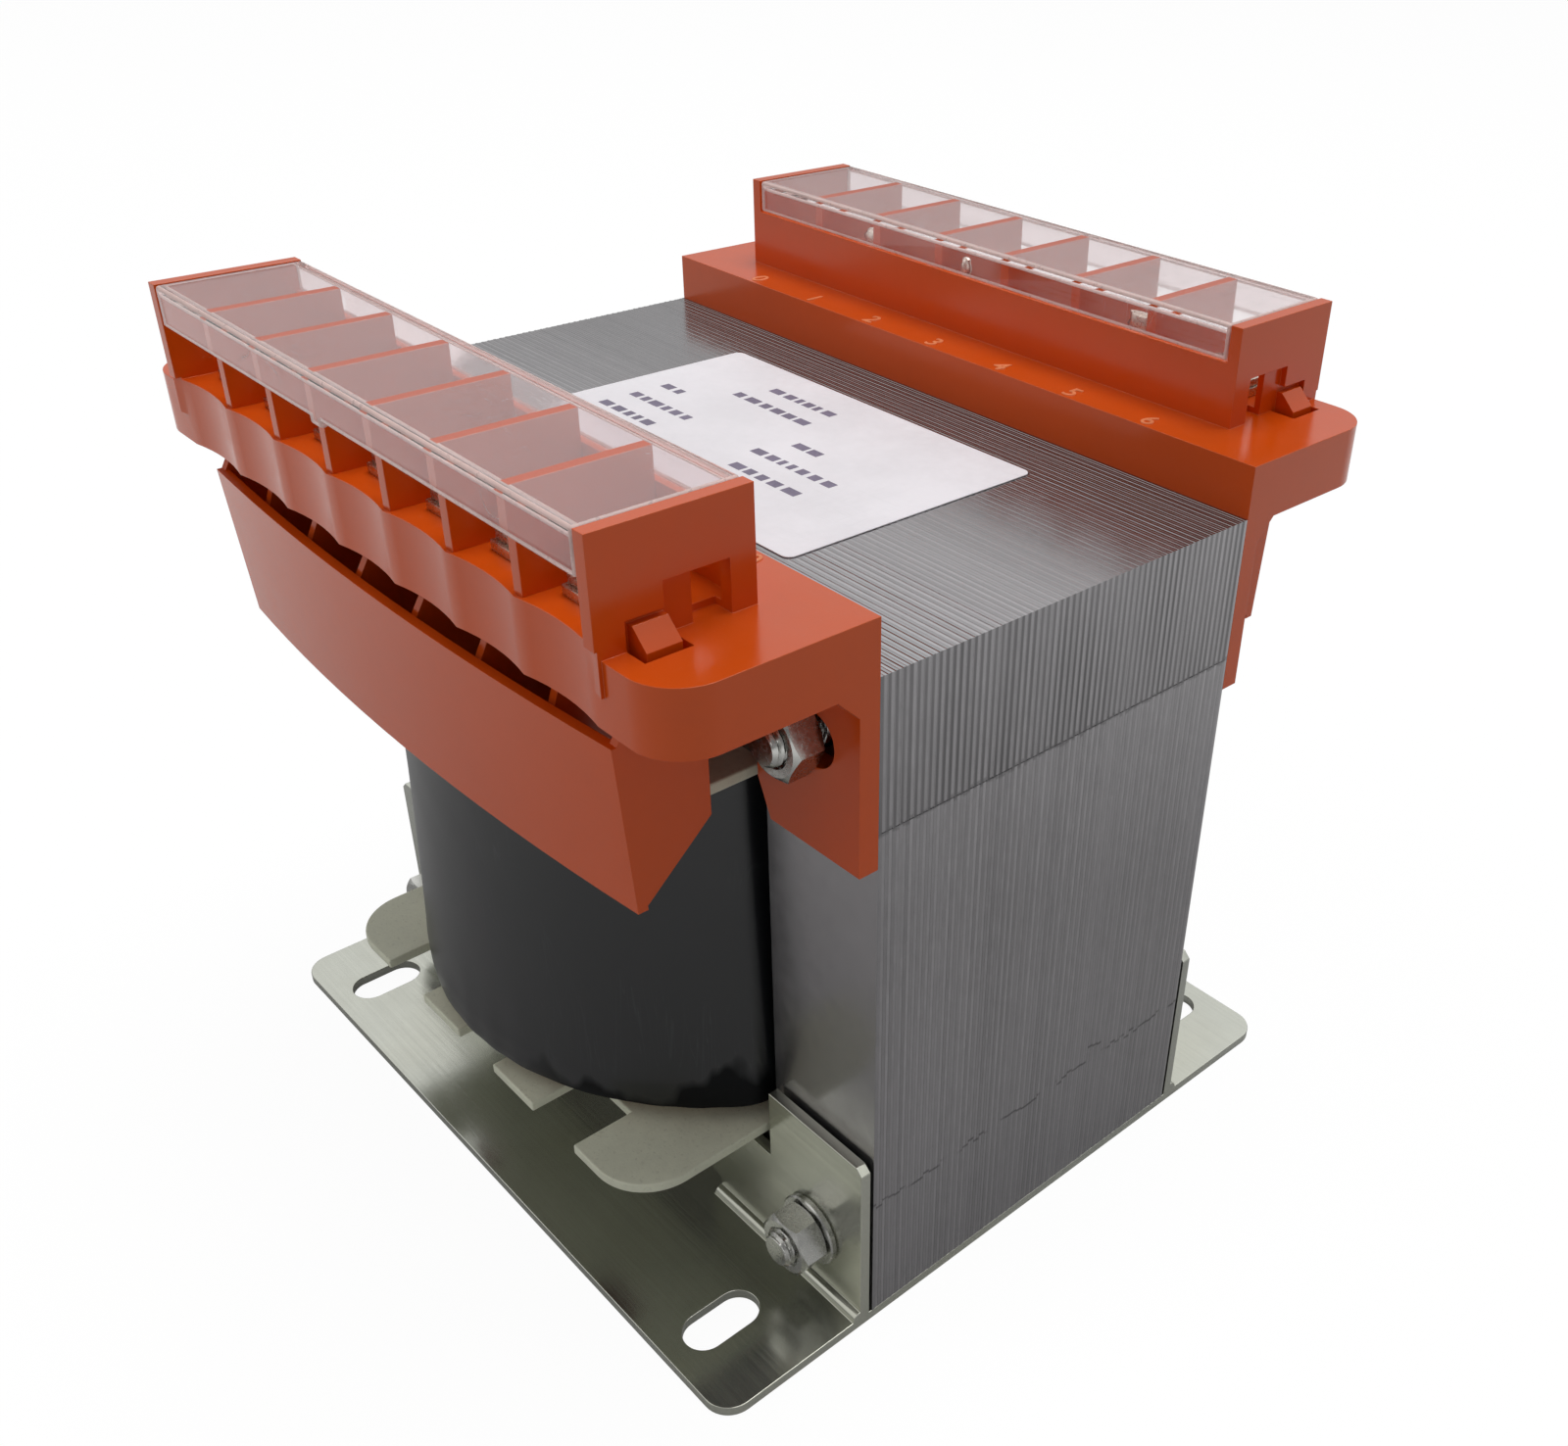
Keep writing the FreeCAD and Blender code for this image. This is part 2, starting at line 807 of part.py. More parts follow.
def terminal_block(name):
    """Flange with two arms and the housing of the seven ways, in front position."""
    past = as_value(1)
    radius = size.block_flange_radius
    flange = extrusion(
        name + "_flange",
        "XY",
        flange_low,
        [[
            (-block_half, -core_face),
            (-block_half, radius - flange_front, radius, "left"),
            (radius - block_half, -flange_front),
            (block_half - radius, -flange_front, radius, "left"),
            (block_half, radius - flange_front),
            (block_half, -core_face),
        ]],
        size.block_flange_height,
    )
    housing = box(
        name + "_housing",
        -housing_half,
        housing_half,
        -housing_front,
        -housing_inner,
        flange_low + size.block_flange_height / 2,
        housing_top,
    )
    plain = [flange, housing]
    for side, word in ((-1, "left"), (1, "right")):
        arm = [
            (side * arm_outer, bolt_high - size.arm_below_bolt),
            (side * arm_outer, flange_low + size.block_flange_height / 2),
            (side * arm_inner, flange_low + size.block_flange_height / 2),
            (side * arm_inner, bolt_high - size.arm_below_bolt + size.arm_corner_rise),
            (side * (arm_inner + size.arm_corner_run), bolt_high - size.arm_below_bolt),
        ]
        slot_x = side * bolt_side
        slot_r = size.arm_slot_height / 2
        slot_run = size.arm_slot_length / 2 - slot_r
        slot = [
            (slot_x - slot_run, bolt_high - slot_r),
            (slot_x + slot_run, bolt_high - slot_r, slot_r, "left"),
            (slot_x + slot_run, bolt_high + slot_r),
            (slot_x - slot_run, bolt_high + slot_r, slot_r, "left"),
        ]
        plain.append(extrusion(name + "_arm_" + word, "XZ", core_face, [arm, slot], size.arm_thickness))
        gusset_x = arm_inner if side > 0 else -arm_outer
        arm_front = core_face + size.arm_thickness
        plain.append(extrusion(
            name + "_gusset_" + word,
            "YZ",
            gusset_x,
            [[
                (-arm_front + size.arm_thickness / 2, flange_low + size.arm_gusset / 2),
                (-arm_front - size.arm_gusset, flange_low + size.arm_gusset / 2),
                (-arm_front - size.arm_gusset, flange_low),
                (-arm_front, flange_low - size.arm_gusset),
                (-arm_front + size.arm_thickness / 2, flange_low - size.arm_gusset),
            ]],
            size.arm_width,
        ))
    solid = union(name + "_plain", plain)

    # Hollows: the ways, the seats of the cover, the windows of the end walls, slots of the tails
    hollows = [
        box(
            name + "_ways",
            -way_half,
            way_half,
            -housing_front - past,
            -way_inner,
            way_floor,
            housing_top + past,
        ),
        box(
            name + "_way_mouth",
            -way_half,
            way_half,
            -housing_front - past,
            -flange_front,
            flange_top - past / 2,
            housing_top + past,
        ),
        box(
            name + "_cover_seat",
            -way_half,
            way_half,
            -way_inner - past,
            -housing_inner + past,
            inner_wall_top,
            housing_top + past,
        ),
    ]
    scallop_half = size.way_pitch / 2
    depth = size.scallop_depth
    scallop_radius = (scallop_half * scallop_half + depth * depth) / (2 * depth)
    for number in range(-3, 4):
        hollows.append(rod(
            "{}_scallop_{}".format(name, number + 4),
            scallop_radius,
            size.block_flange_height + 2 * past,
            number * size.way_pitch,
            depth - scallop_radius - flange_front,
            flange_low - past,
            "Z",
        ))
    window_back = core_face + size.window_setback
    window_front = window_back + size.window_width
    recess_front = window_front + size.recess_width
    lug_back = recess_front - size.lug_clearance / 2
    lug_front = lug_back + size.lug_width
    for side, word in ((-1, "left"), (1, "right")):
        inside = way_half - past
        outside = housing_half + past
        skin = housing_half - size.recess_depth
        ledge = housing_half + size.lug_reach + size.lug_clearance
        spans = (
            ("window", inside, outside, window_back, window_front, flange_top, size.window_height),
            ("recess", skin, outside, window_front - past / 2, recess_front, flange_top, size.window_height),
            (
                "lug_notch",
                skin,
                ledge,
                lug_back - size.lug_clearance,
                lug_front + size.lug_clearance,
                flange_top - size.lug_drop,
                size.lug_drop + size.lug_height - size.lug_drop + size.lug_clearance,
            ),
        )
        for what, near, far, back_y, front_y, low, tall in spans:
            hollows.append(box(
                "{}_{}_{}".format(name, what, word),
                near if side > 0 else -far,
                far if side > 0 else -near,
                -front_y,
                -back_y,
                low,
                low + tall,
            ))
    slack = size.contact_slot_clearance
    for number in range(-3, 4):
        line = number * size.way_pitch
        hollows.append(box(
            "{}_tail_slot_{}".format(name, number + 4),
            line - tail_half - slack,
            line + tail_half + slack,
            -contact_back - size.contact_thickness - slack,
            -contact_back + slack,
            flange_low - past,
            way_floor + past,
        ))
        hollows.append(rod(
            "{}_screw_hole_{}".format(name, number + 4),
            size.screw_radius + slack,
            size.screw_depth + past,
            line,
            -screw_line,
            way_floor - size.screw_depth,
            "Z",
        ))
    carved = cut(name + "_carved", solid, union(name + "_hollows", hollows))

    # A lug stands in the notch of each end
    walls = [carved]
    for side, word in ((-1, "left"), (1, "right")):
        lug_low = flange_top - size.lug_drop
        skin = housing_half - size.recess_depth
        root_x = (skin + way_half) / 2
        points = [
            (side * root_x, lug_low + size.lug_clearance / 4),
            (side * (housing_half + size.lug_reach), lug_low + size.lug_clearance / 4),
            (side * (housing_half + size.lug_reach), lug_low + size.lug_height - size.lug_slope),
            (side * housing_half, lug_low + size.lug_height),
            (side * root_x, lug_low + size.lug_height),
        ]
        walls.append(extrusion(name + "_lug_" + word, "XZ", lug_back, [points], size.lug_width))
    return union(name + "_moulding", walls)


def way_dividers(name):
    """Six upright walls between the seven ways, on the way floor and against the inner wall."""
    walls = []
    for number in (-5, -3, -1, 1, 3, 5):
        line = number * size.way_pitch / 2
        walls.append(box(
            "{}_{}".format(name, (number + 7) // 2),
            line - size.divider_thickness / 2,
            line + size.divider_thickness / 2,
            -divider_front,
            -way_inner,
            way_floor,
            lid_low,
        ))
    return union(name + "_set", walls)


def wire_duct(name):
    """Bowed wall that hangs below the flange from six ribs and two end plates."""
    end_back = core_face + size.duct_end_inner
    end_front = core_face + size.duct_bottom_reach - size.duct_bottom_bow - size.duct_wall / 2
    end_top_front = core_face + size.duct_top_reach - size.duct_top_bow - size.duct_wall / 2
    hanger_front = core_face + size.duct_rib_top_reach
    plates = []
    for side, word in ((-1, "left"), (1, "right")):
        plates.append(extrusion(
            name + "_end_" + word,
            "YZ",
            size.duct_half_width - size.duct_rib if side > 0 else -size.duct_half_width,
            [[
                (-end_back, flange_low - size.duct_end_drop),
                (-end_back, flange_low),
                (-hanger_front, flange_low),
                (-end_top_front, duct_top),
                (-end_front, duct_low),
            ]],
            size.duct_rib,
        ))
    top = free_sketch(
        name + "_top",
        duct_top,
        [bow_wires(size.duct_top_reach, size.duct_top_bow, size.duct_half_width, size.duct_wall)],
    )
    bottom = free_sketch(
        name + "_bottom",
        duct_low,
        [bow_wires(size.duct_bottom_reach, size.duct_bottom_bow, size.duct_half_width, size.duct_wall)],
    )
    wall = doc.addObject("Part::Loft", name + "_wall")
    wall.Sections = [bottom, top]
    wall.Solid = True
    wall.Ruled = True
    plates.append(wall)
    # Ribs that carry the wall, each as long as the bow is deep at its place
    rib_low = core_joint + size.duct_rib_clearance
    rib_top = duct_top - size.duct_wall
    for number in (1, 3, 5):
        line = number * size.way_pitch / 2
        share = line * line / (size.duct_half_width * size.duct_half_width)
        rib_front = core_face + size.duct_bottom_reach - size.duct_bottom_bow * share - size.duct_wall / 2
        for side, word in ((-1, "left"), (1, "right")):
            plates.append(extrusion(
                "{}_rib_{}_{}".format(name, word, number),
                "YZ",
                side * line - size.duct_rib / 2,
                [[
                    (-end_back, rib_low),
                    (-end_back, flange_low),
                    (-hanger_front, flange_low),
                    (-rib_front, rib_top),
                    (-rib_front, rib_low),
                ]],
                size.duct_rib,
            ))
    return union(name + "_moulding", plates)


def clear_cover(name):
    """Top sheet with a deep outer lip and a shorter inner lip, in front position."""
    body = body_named(name)
    half = way_half - size.cover_clearance
    inner_low = inner_wall_top + size.cover_clearance / 2
    outer_low = housing_top - size.cover_outer_lip
    pad(
        body,
        name + "_shell",
        body_sketch(
            body,
            name + "_section",
            "YZ",
            0,
            [[
                (-housing_front, outer_low),
                (-lip_inner, outer_low),
                (-lip_inner, lid_low),
                (-housing_inner - size.cover_thickness, lid_low),
                (-housing_inner - size.cover_thickness, inner_low),
                (-housing_inner, inner_low),
                (-housing_inner, housing_top),
                (-housing_front, housing_top),
            ]],
        ),
        2 * half,
        True,
    )
    pad(
        body,
        name + "_nub",
        body_sketch(
            body,
            name + "_nub_outline",
            "XZ",
            lip_inner,
            [rectangle(
                -size.cover_nub_offset - size.cover_nub_width / 2,
                -size.cover_nub_offset + size.cover_nub_width / 2,
                outer_low - size.cover_nub_height,
                outer_low + size.cover_thickness,
            )],
        ),
        size.cover_thickness,
    )
    return body


def contact_strips(name):
    """Seven bent strips: a foot on each way's floor and a tail down through the flange."""
    strips = []
    for number in range(-3, 4):
        line = number * size.way_pitch
        foot = box(
            "{}_foot_{}".format(name, number + 4),
            line - size.contact_width / 2,
            line + size.contact_width / 2,
            -contact_front,
            -contact_back,
            way_floor,
            contact_top,
        )
        tail = box(
            "{}_tail_{}".format(name, number + 4),
            line - tail_half,
            line + tail_half,
            -contact_back - size.contact_thickness,
            -contact_back,
            tail_low,
            contact_top,
        )
        hole = rod(
            "{}_hole_{}".format(name, number + 4),
            size.screw_radius + size.thread_clearance,
            3 * size.contact_thickness,
            line,
            -screw_line,
            way_floor - size.contact_thickness,
            "Z",
        )
        strips.append(cut("{}_strip_{}".format(name, number + 4), union(
            "{}_bent_{}".format(name, number + 4), [foot, tail]), hole))
    return union(name + "_strips", strips)


HALF_TURN = FreeCAD.Rotation(FreeCAD.Vector(0, 0, 1), 180)


def place_node(name, thing, turned=False):
    """Gives a finished sub-part its own name, and turns it half round for the rear."""
    thing.Label = name
    if turned:
        thing.Placement = FreeCAD.Placement(FreeCAD.Vector(), HALF_TURN)
    nodes[name] = thing


for place in ("front", "rear"):
    turned = place == "rear"
    place_node(place + "_terminal_block", terminal_block(place + "_block"), turned)
    place_node(place + "_way_dividers", way_dividers(place + "_divider"), turned)
    place_node(place + "_wire_duct", wire_duct(place + "_duct"), turned)
    place_node(place + "_clear_cover", clear_cover(place + "_cover"), turned)
    place_node(place + "_terminal_plates", contact_strips(place + "_contact"), turned)

# Screws and square clamp washers of all fourteen ways
screws = []
clamps = []
for place, sense in (("front", -1), ("rear", 1)):
    for number in range(-3, 4):
        tag = "{}_{}".format(place, number + 4)
        line = number * size.way_pitch
        along = sense * screw_line
        clamp_top = contact_top + size.clamp_thickness
        square = box(
            "clamp_square_" + tag,
            line - size.clamp_width / 2,
            line + size.clamp_width / 2,
            along - size.clamp_width / 2,
            along + size.clamp_width / 2,
            contact_top,
            clamp_top,
        )
        bore = rod(
            "clamp_bore_" + tag,
            size.screw_radius + size.thread_clearance,
            2 * size.clamp_thickness,
            line,
            along,
            contact_top - size.clamp_thickness / 2,
            "Z",
        )
        clamps.append(cut("clamp_" + tag, square, bore))
        shank = rod(
            "screw_shank_" + tag,
            size.screw_radius,
            clamp_top - way_floor + size.screw_depth + size.screw_head_height / 2,
            line,
            along,
            way_floor - size.screw_depth,
            "Z",
        )
        head = rod("screw_head_" + tag, size.screw_head_radius, size.screw_head_height, line, along, clamp_top, "Z")
        groove = box(
            "screw_groove_" + tag,
            line - size.screw_head_radius,
            line + size.screw_head_radius,
            along - size.screw_slot_width / 2,
            along + size.screw_slot_width / 2,
            clamp_top + size.screw_head_height - size.screw_slot_depth,
            clamp_top + 2 * size.screw_head_height,
        )
        screws.append(cut("screw_" + tag, union("screw_blank_" + tag, [shank, head]), groove))
place_node("terminal_screws", union("screw_set", screws))
place_node("clamp_washers", union("clamp_set", clamps))

# Through bolts with their heads at the rear and nuts at the front
tab_seat = tab_outer
arm_seat = core_face + size.arm_thickness
washer_seat = tab_seat + size.washer_thickness
for word, level, seat in (("upper", bolt_high, arm_seat), ("lower", bolt_low, washer_seat)):
    bolts = []
    nuts = []
    for side, hand in ((-1, "left"), (1, "right")):
        tag = "{}_{}".format(word, hand)
        across = side * bolt_side
        tip = seat + size.nut_height + size.bolt_past_nut
        point = size.bolt_point_chamfer
        shank = rod("bolt_shank_" + tag, size.bolt_radius, seat + tip - point, across, point - tip, level, "Y")
        cone = doc.addObject("Part::Cone", "bolt_point_" + tag)
        cone.Placement = FreeCAD.Placement(FreeCAD.Vector(), FreeCAD.Rotation(FreeCAD.Vector(1, 0, 0), -90))
        bind(cone, "Radius1", size.bolt_radius - point)
        bind(cone, "Radius2", size.bolt_radius)
        bind(cone, "Height", point)
        for axis, value in (("x", across), ("y", -tip), ("z", level)):
            bind(cone, ".Placement.Base." + axis, value)
        head = hexagon("bolt_head_" + tag, size.nut_width, size.head_height, across, seat, level)
        bolts.append(union("bolt_" + tag, [shank, cone, head]))
        blank = hexagon("nut_blank_" + tag, size.nut_width, size.nut_height, across, -seat - size.nut_height, level)
        thread = rod(
            "nut_thread_" + tag,
            size.bolt_radius + size.thread_clearance,
            2 * size.nut_height,
            across,
            -seat - 1.5 * size.nut_height,
            level,
            "Y",
        )
        nuts.append(cut("nut_" + tag, blank, thread))
    place_node(word + "_bolts", union(word + "_bolt_pair", bolts))
    place_node(word + "_nuts", union(word + "_nut_pair", nuts))

rings = []
for sense, place in ((-1, "front"), (1, "rear")):
    for side, hand in ((-1, "left"), (1, "right")):
        tag = "{}_{}".format(place, hand)
        near = tab_seat if sense > 0 else -washer_seat
        disc = rod("washer_disc_" + tag, size.washer_radius, size.washer_thickness, side * bolt_side, near, bolt_low, "Y")
        bore = rod(
            "washer_bore_" + tag,
            size.bolt_radius + size.bolt_clearance,
            3 * size.washer_thickness,
            side * bolt_side,
            near - size.washer_thickness,
            bolt_low,
            "Y",
        )
        rings.append(cut("washer_" + tag, disc, bore))
place_node("lower_washers", union("washer_set", rings))

# Leads from the coil up beside the tails, two for each side notch of the former
for place, sense in (("front", -1), ("rear", 1)):
    wires = []
    for side in (-1, 1):
        for number, beside in ((1, 1), (2, -1)):
            tag = "{}_{}_{}".format(place, "left" if side < 0 else "right", number)
            touch = number * size.way_pitch + beside * (tail_half + size.lead_radius + size.thread_clearance)
            wires.append(rod(
                "lead_" + tag,
                size.lead_radius,
                tail_low + size.lead_overlap - winding_high,
                side * touch,
                sense * (core_face + size.lead_setback),
                winding_high,
                "Z",
            ))
    place_node(place + "_leads", union(place + "_lead_set", wires))

# Tinned lead ends that stand in three of the rear ways, beside the inner wall
ends = []
for word, number, offset in (
    ("left", -2, size.lead_end_left_offset),
    ("middle", 0, size.lead_end_middle_offset),
    ("right", 2, size.lead_end_right_offset),
):
    ends.append(rod(
        "lead_end_" + word,
        size.lead_end_radius,
        size.lead_end_height,
        number * size.way_pitch + offset,
        core_face + size.lead_end_setback,
        way_floor,
        "Z",
    ))
place_node("rear_lead_ends", union("lead_end_set", ends))

# Label on the top yoke
label = body_named("rating_label")
pad(
    label,
    "label_sheet",
    body_sketch(
        label,
        "label_outline",
        "XY",
        core_top,
        [rounded_rectangle(
            size.label_length / 2, size.label_width / 2, size.label_corner_radius, size.label_offset)],
    ),
    size.label_thickness,
)
nodes["rating_label"] = label

doc.recompute()

problems = []
for thing in doc.Objects:
    if "Invalid" in thing.State or "Error" in thing.State:
        problems.append("{} {}".format(thing.Name, thing.State))
for name, thing in nodes.items():
    shape = thing.Shape
    if shape.isNull() or not shape.isValid() or not shape.Solids:
        problems.append("{} has no valid solid".format(name))
if problems:
    raise RuntimeError("; ".join(problems))

os.makedirs("parts", exist_ok=True)
for name, thing in nodes.items():
    thing.Shape.exportStep("parts/{}.step".format(name))
    spread = thing.Shape.BoundBox
    print("{:24s} solids {:3d} volume {:10.1f} faces {:4d} x {:.2f} {:.2f} y {:.2f} {:.2f} z {:.2f} {:.2f}".format(
        name, len(thing.Shape.Solids), thing.Shape.Volume, len(thing.Shape.Faces),
        spread.XMin, spread.XMax, spread.YMin, spread.YMax, spread.ZMin, spread.ZMax))
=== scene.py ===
import math

import bmesh
import bpy
import numpy as np
from bpy.props import FloatProperty, FloatVectorProperty, IntProperty, PointerProperty
from bpy.types import Operator, Panel, PropertyGroup
from mathutils import Matrix, Vector
from mathutils.geometry import tessellate_polygon


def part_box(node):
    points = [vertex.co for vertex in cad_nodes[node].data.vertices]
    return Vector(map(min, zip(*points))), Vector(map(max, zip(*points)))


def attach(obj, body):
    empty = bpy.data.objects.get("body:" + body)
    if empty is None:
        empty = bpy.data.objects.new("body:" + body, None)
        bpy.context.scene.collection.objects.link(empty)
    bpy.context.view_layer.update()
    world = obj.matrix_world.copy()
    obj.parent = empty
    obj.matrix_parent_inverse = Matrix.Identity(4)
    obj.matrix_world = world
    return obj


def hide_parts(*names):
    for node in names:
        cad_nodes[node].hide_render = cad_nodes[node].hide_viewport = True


bl_info = {
    "name": "Chassis Transformer Looks",
    "version": (1, 0, 0),
    "blender": (4, 5, 0),
    "location": "3D View > Sidebar > Transformer",
    "description": "Dresses the packed chassis transformer with detailed surfaces, materials and a stage",
    "category": "Object",
}

# Shapes are worked out in millimetres. Meshes, settings and finishes are in metres.
MILLIMETRE = 0.001

# Sizes that repeat the CAD's, where no box of a node gives them
WAY_PITCH = 13.05
FLANGE_TOP = 103.2
BORE_RADIUS = 2.75
BOLT_RADIUS = 2.5
NUT_BORE_RADIUS = 2.52
HEAD_HEIGHT = 3.5
WASHER_THICKNESS = 1.0
COIL_END_RADIUS = 44.0
COIL_CORNER_RADIUS = 6.0
WRAP_THICKNESS = 0.5
TAIL_HALF_WIDTH = 2.5
TAIL_CLEARANCE = 0.05
MIDDLE_END_PLACE = -1.9

# Shares of a hexagon's width
FACE_SHARE = 0.475
DISH_SHARE = 0.3

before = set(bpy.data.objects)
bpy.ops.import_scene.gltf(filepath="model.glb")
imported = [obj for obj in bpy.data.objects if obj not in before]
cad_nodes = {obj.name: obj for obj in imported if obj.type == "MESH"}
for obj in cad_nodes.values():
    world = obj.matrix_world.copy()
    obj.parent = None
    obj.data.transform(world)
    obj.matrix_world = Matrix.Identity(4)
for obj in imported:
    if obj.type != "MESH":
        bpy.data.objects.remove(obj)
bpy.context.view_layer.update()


def limits(node):
    """Lowest and highest corner of a CAD node in millimetres."""
    low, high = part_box(node)
    return np.array(low) / MILLIMETRE, np.array(high) / MILLIMETRE


def bolt_places(level):
    """Distance from the middle, height and nut width of a level's bolts, from the box of its nuts."""
    low, high = limits(level + "_nuts")
    width = high[2] - low[2]
    return high[0] - width / math.sqrt(3), (low[2] + high[2]) / 2, width


def linear(red, green, blue):
    """Screen colour of 0 to 255 a channel as scene-linear values: the inverse of the sRGB curve."""
    share = np.array([red, green, blue]) / 255
    curved = ((share + 0.055) / 1.055) ** 2.4
    return tuple(float(v) for v in np.where(share <= 0.04045, share / 12.92, curved))


# Settings


def length(name, description, default):
    """Setting for a length in metres."""
    return FloatProperty(name=name, description=description, default=default, unit="LENGTH")


def tint(name, description, *channels):
    """Setting for a colour, whose default is given on the screen's scale of 0 to 255."""
    return FloatVectorProperty(
        name=name, description=description, subtype="COLOR", size=3, min=0, max=1, default=linear(*channels))


def factor(name, description, default):
    """Setting for a share between nought and one."""
    return FloatProperty(name=name, description=description, default=default, min=0, max=1, subtype="FACTOR")


def angle(name, description, degrees):
    """Setting for an angle."""
    return FloatProperty(name=name, description=description, subtype="ANGLE", default=math.radians(degrees))


def power(name, description, default):
    """Setting for a lamp's power in watts."""
    return FloatProperty(name=name, description=description, default=default, unit="POWER")


class TransformerSizes(PropertyGroup):
    """Sizes of the fine detail that Blender adds to the CAD shapes."""

    moulding_round: length("Moulding edge", "Rounding of the orange moulding's edges", 0.0004)
    former_round: length("Former edge", "Rounding of the coil former's edges", 0.00025)
    cover_round: length("Cover edge", "Rounding of the clear covers' edges", 0.0004)
    sheet_round: length("Sheet metal edge", "Rounding of the base plate's cut edges", 0.0002)
    terminal_round: length("Terminal edge", "Rounding of screws and clamp washers", 0.0002)
    strip_round: length("Strip edge", "Rounding of the terminal strips", 0.00015)
    label_round: length("Label edge", "Rounding of the label's rim", 0.00003)
    sheet_pitch: length("Lamination", "Thickness of one core lamination", 0.0005)
    sheet_play: length("Lamination play", "Largest random inset of a lamination", 0.00002)
    sheet_groove: length("Lamination groove", "Depth of the line between two laminations", 0.00004)
    sheet_step: length("Lamination step", "How far every second sheet of the top stack stands back", 0.00003)
    wire_diameter: length("Winding wire", "Diameter of the enamelled wire", 0.0009)
    coil_taper: length("Coil taper", "How much closer the wound coil draws in towards its top", 0.0021)
    wrap_wrinkle: length("Wrap wrinkle", "Depth of the film's slack over the winding", 0.00016)
    thread_pitch: length("Thread pitch", "Pitch of the through bolts' thread", 0.0008)
    thread_depth: length("Thread depth", "Depth of the through bolts' thread", 0.00042)
    numeral_height: length("Numeral height", "Height of the way numbers on the flanges", 0.0029)
    numeral_relief: length("Numeral relief", "How far the way numbers stand up", 0.00012)
    numeral_row: length("Numeral row", "Distance of the way numbers from the middle", 0.0313)
    around: IntProperty(
        name="Round steps", description="Faces round a bolt, nut or washer", default=48, min=24, max=96)


class TransformerFinish(PropertyGroup):
    """Colours and wear of the finishes."""

    moulding: tint("Moulding", "Orange terminal block plastic", 210, 79, 10)
    cover: tint("Cover", "Tint of the clear covers", 248, 240, 241)
    # The cover rims' pale colour is a painted highlight of their lit edges
    cover_rim: tint("Cover rim", "Pale rounded rims of the clear covers", 236, 206, 200)
    zinc: tint("Zinc sheet", "Passivated zinc of the base plate", 184, 186, 177)
    lamination: tint("Lamination steel", "Cut edges of the core sheets", 158, 156, 158)
    former: tint("Coil former", "Pale glass-filled former", 224, 226, 204)
    wrap: tint("Outer wrap", "Dark film round the coil", 15, 17, 20)
    copper: tint("Winding wire", "Enamelled copper wire", 150, 78, 44)
    film: tint("Layer film", "Insulation between the windings", 214, 200, 160)
    terminal: tint("Terminal plating", "Plated strips, screws and clamps", 205, 200, 188)
    fastener: tint("Fastener plating", "Plated bolts, nuts and washers", 186, 186, 182)
    sleeve: tint("Lead sleeve", "Sleeving of the winding leads", 62, 48, 44)
    label: tint("Label", "Paper of the label on the core", 246, 244, 249)
    label_mark: tint("Label marks", "Plain bars on the label", 112, 104, 126)
    numeral: tint("Numerals", "Pale way numbers", 226, 132, 84)
    wear: factor("Edge wear", "How much edges are rubbed", 0.5)
    dust: factor("Dust", "How much dust lies on upward faces", 0.12)


class TransformerStage(PropertyGroup):
    """Camera, lamps and floor."""

    camera_place: FloatVectorProperty(
        name="Camera place", description="Where the camera stands", subtype="TRANSLATION", unit="LENGTH",
        size=3, default=(0.15740, -0.12054, 0.17326))
    camera_azimuth: angle("Azimuth", "Angle of the camera round the part, from the front", 45.38)
    camera_elevation: angle("Elevation", "Angle by which the camera looks down", 33.17)
    camera_roll: angle("Roll", "Turn of the camera about its own line of sight", 2.12)
    focal_length: FloatProperty(
        name="Focal length", description="Focal length in millimetres on a sensor 36 mm wide", default=36.39)
    shift_across: FloatProperty(
        name="Shift across", description="Sideways shift of the lens", default=-0.0966)
    shift_up: FloatProperty(name="Shift up", description="Upward shift of the lens", default=0.0361)
    floor: FloatVectorProperty(
        name="Floor", description="Pale floor", subtype="COLOR", size=3, min=0, max=1,
        default=(0.52, 0.52, 0.52))
    key: power("Key lamp", "Power of the large lamp at the left", 6.0)
    top: power("Top lamp", "Power of the lamp above", 12.0)
    fill: power("Fill lamp", "Power of the lamp at the right", 0.6)
    surround: FloatProperty(
        name="Surround", description="Strength of the even light from all round", default=0.25, min=0, max=2)


def size_setting(word):
    """A length of the fine detail, in metres."""
    return getattr(bpy.context.scene.transformer_sizes, word)


def sized(word):
    """A length of the fine detail, in millimetres."""
    return size_setting(word) / MILLIMETRE


def finish_settings():
    """The colours and the wear that are set now."""
    return bpy.context.scene.transformer_finish


# Meshes from arrays


def quad_grid(rows, columns, close_rows=False, close_columns=False):
    """Corner numbers of the quads between neighbouring rows and columns of a grid of points."""
    row, column = np.meshgrid(
        np.arange(rows if close_rows else rows - 1),
        np.arange(columns if close_columns else columns - 1),
        indexing="ij",
    )
    next_row = (row + 1) % rows
    next_column = (column + 1) % columns
    corners = [row * columns + column, next_row * columns + column]
    corners += [next_row * columns + next_column, row * columns + next_column]
    return np.stack(corners, axis=-1).reshape(-1, 4)


def linked(name, data):
    """New object that holds the data, put into the scene."""
    made = bpy.data.objects.new(name, data)
    bpy.context.scene.collection.objects.link(made)
    return made


def seal(working):
    """Merges the doubles of an open mesh and turns its faces outwards."""
    bmesh.ops.remove_doubles(working, verts=working.verts, dist=1e-7)
    bmesh.ops.recalc_face_normals(working, faces=working.faces)


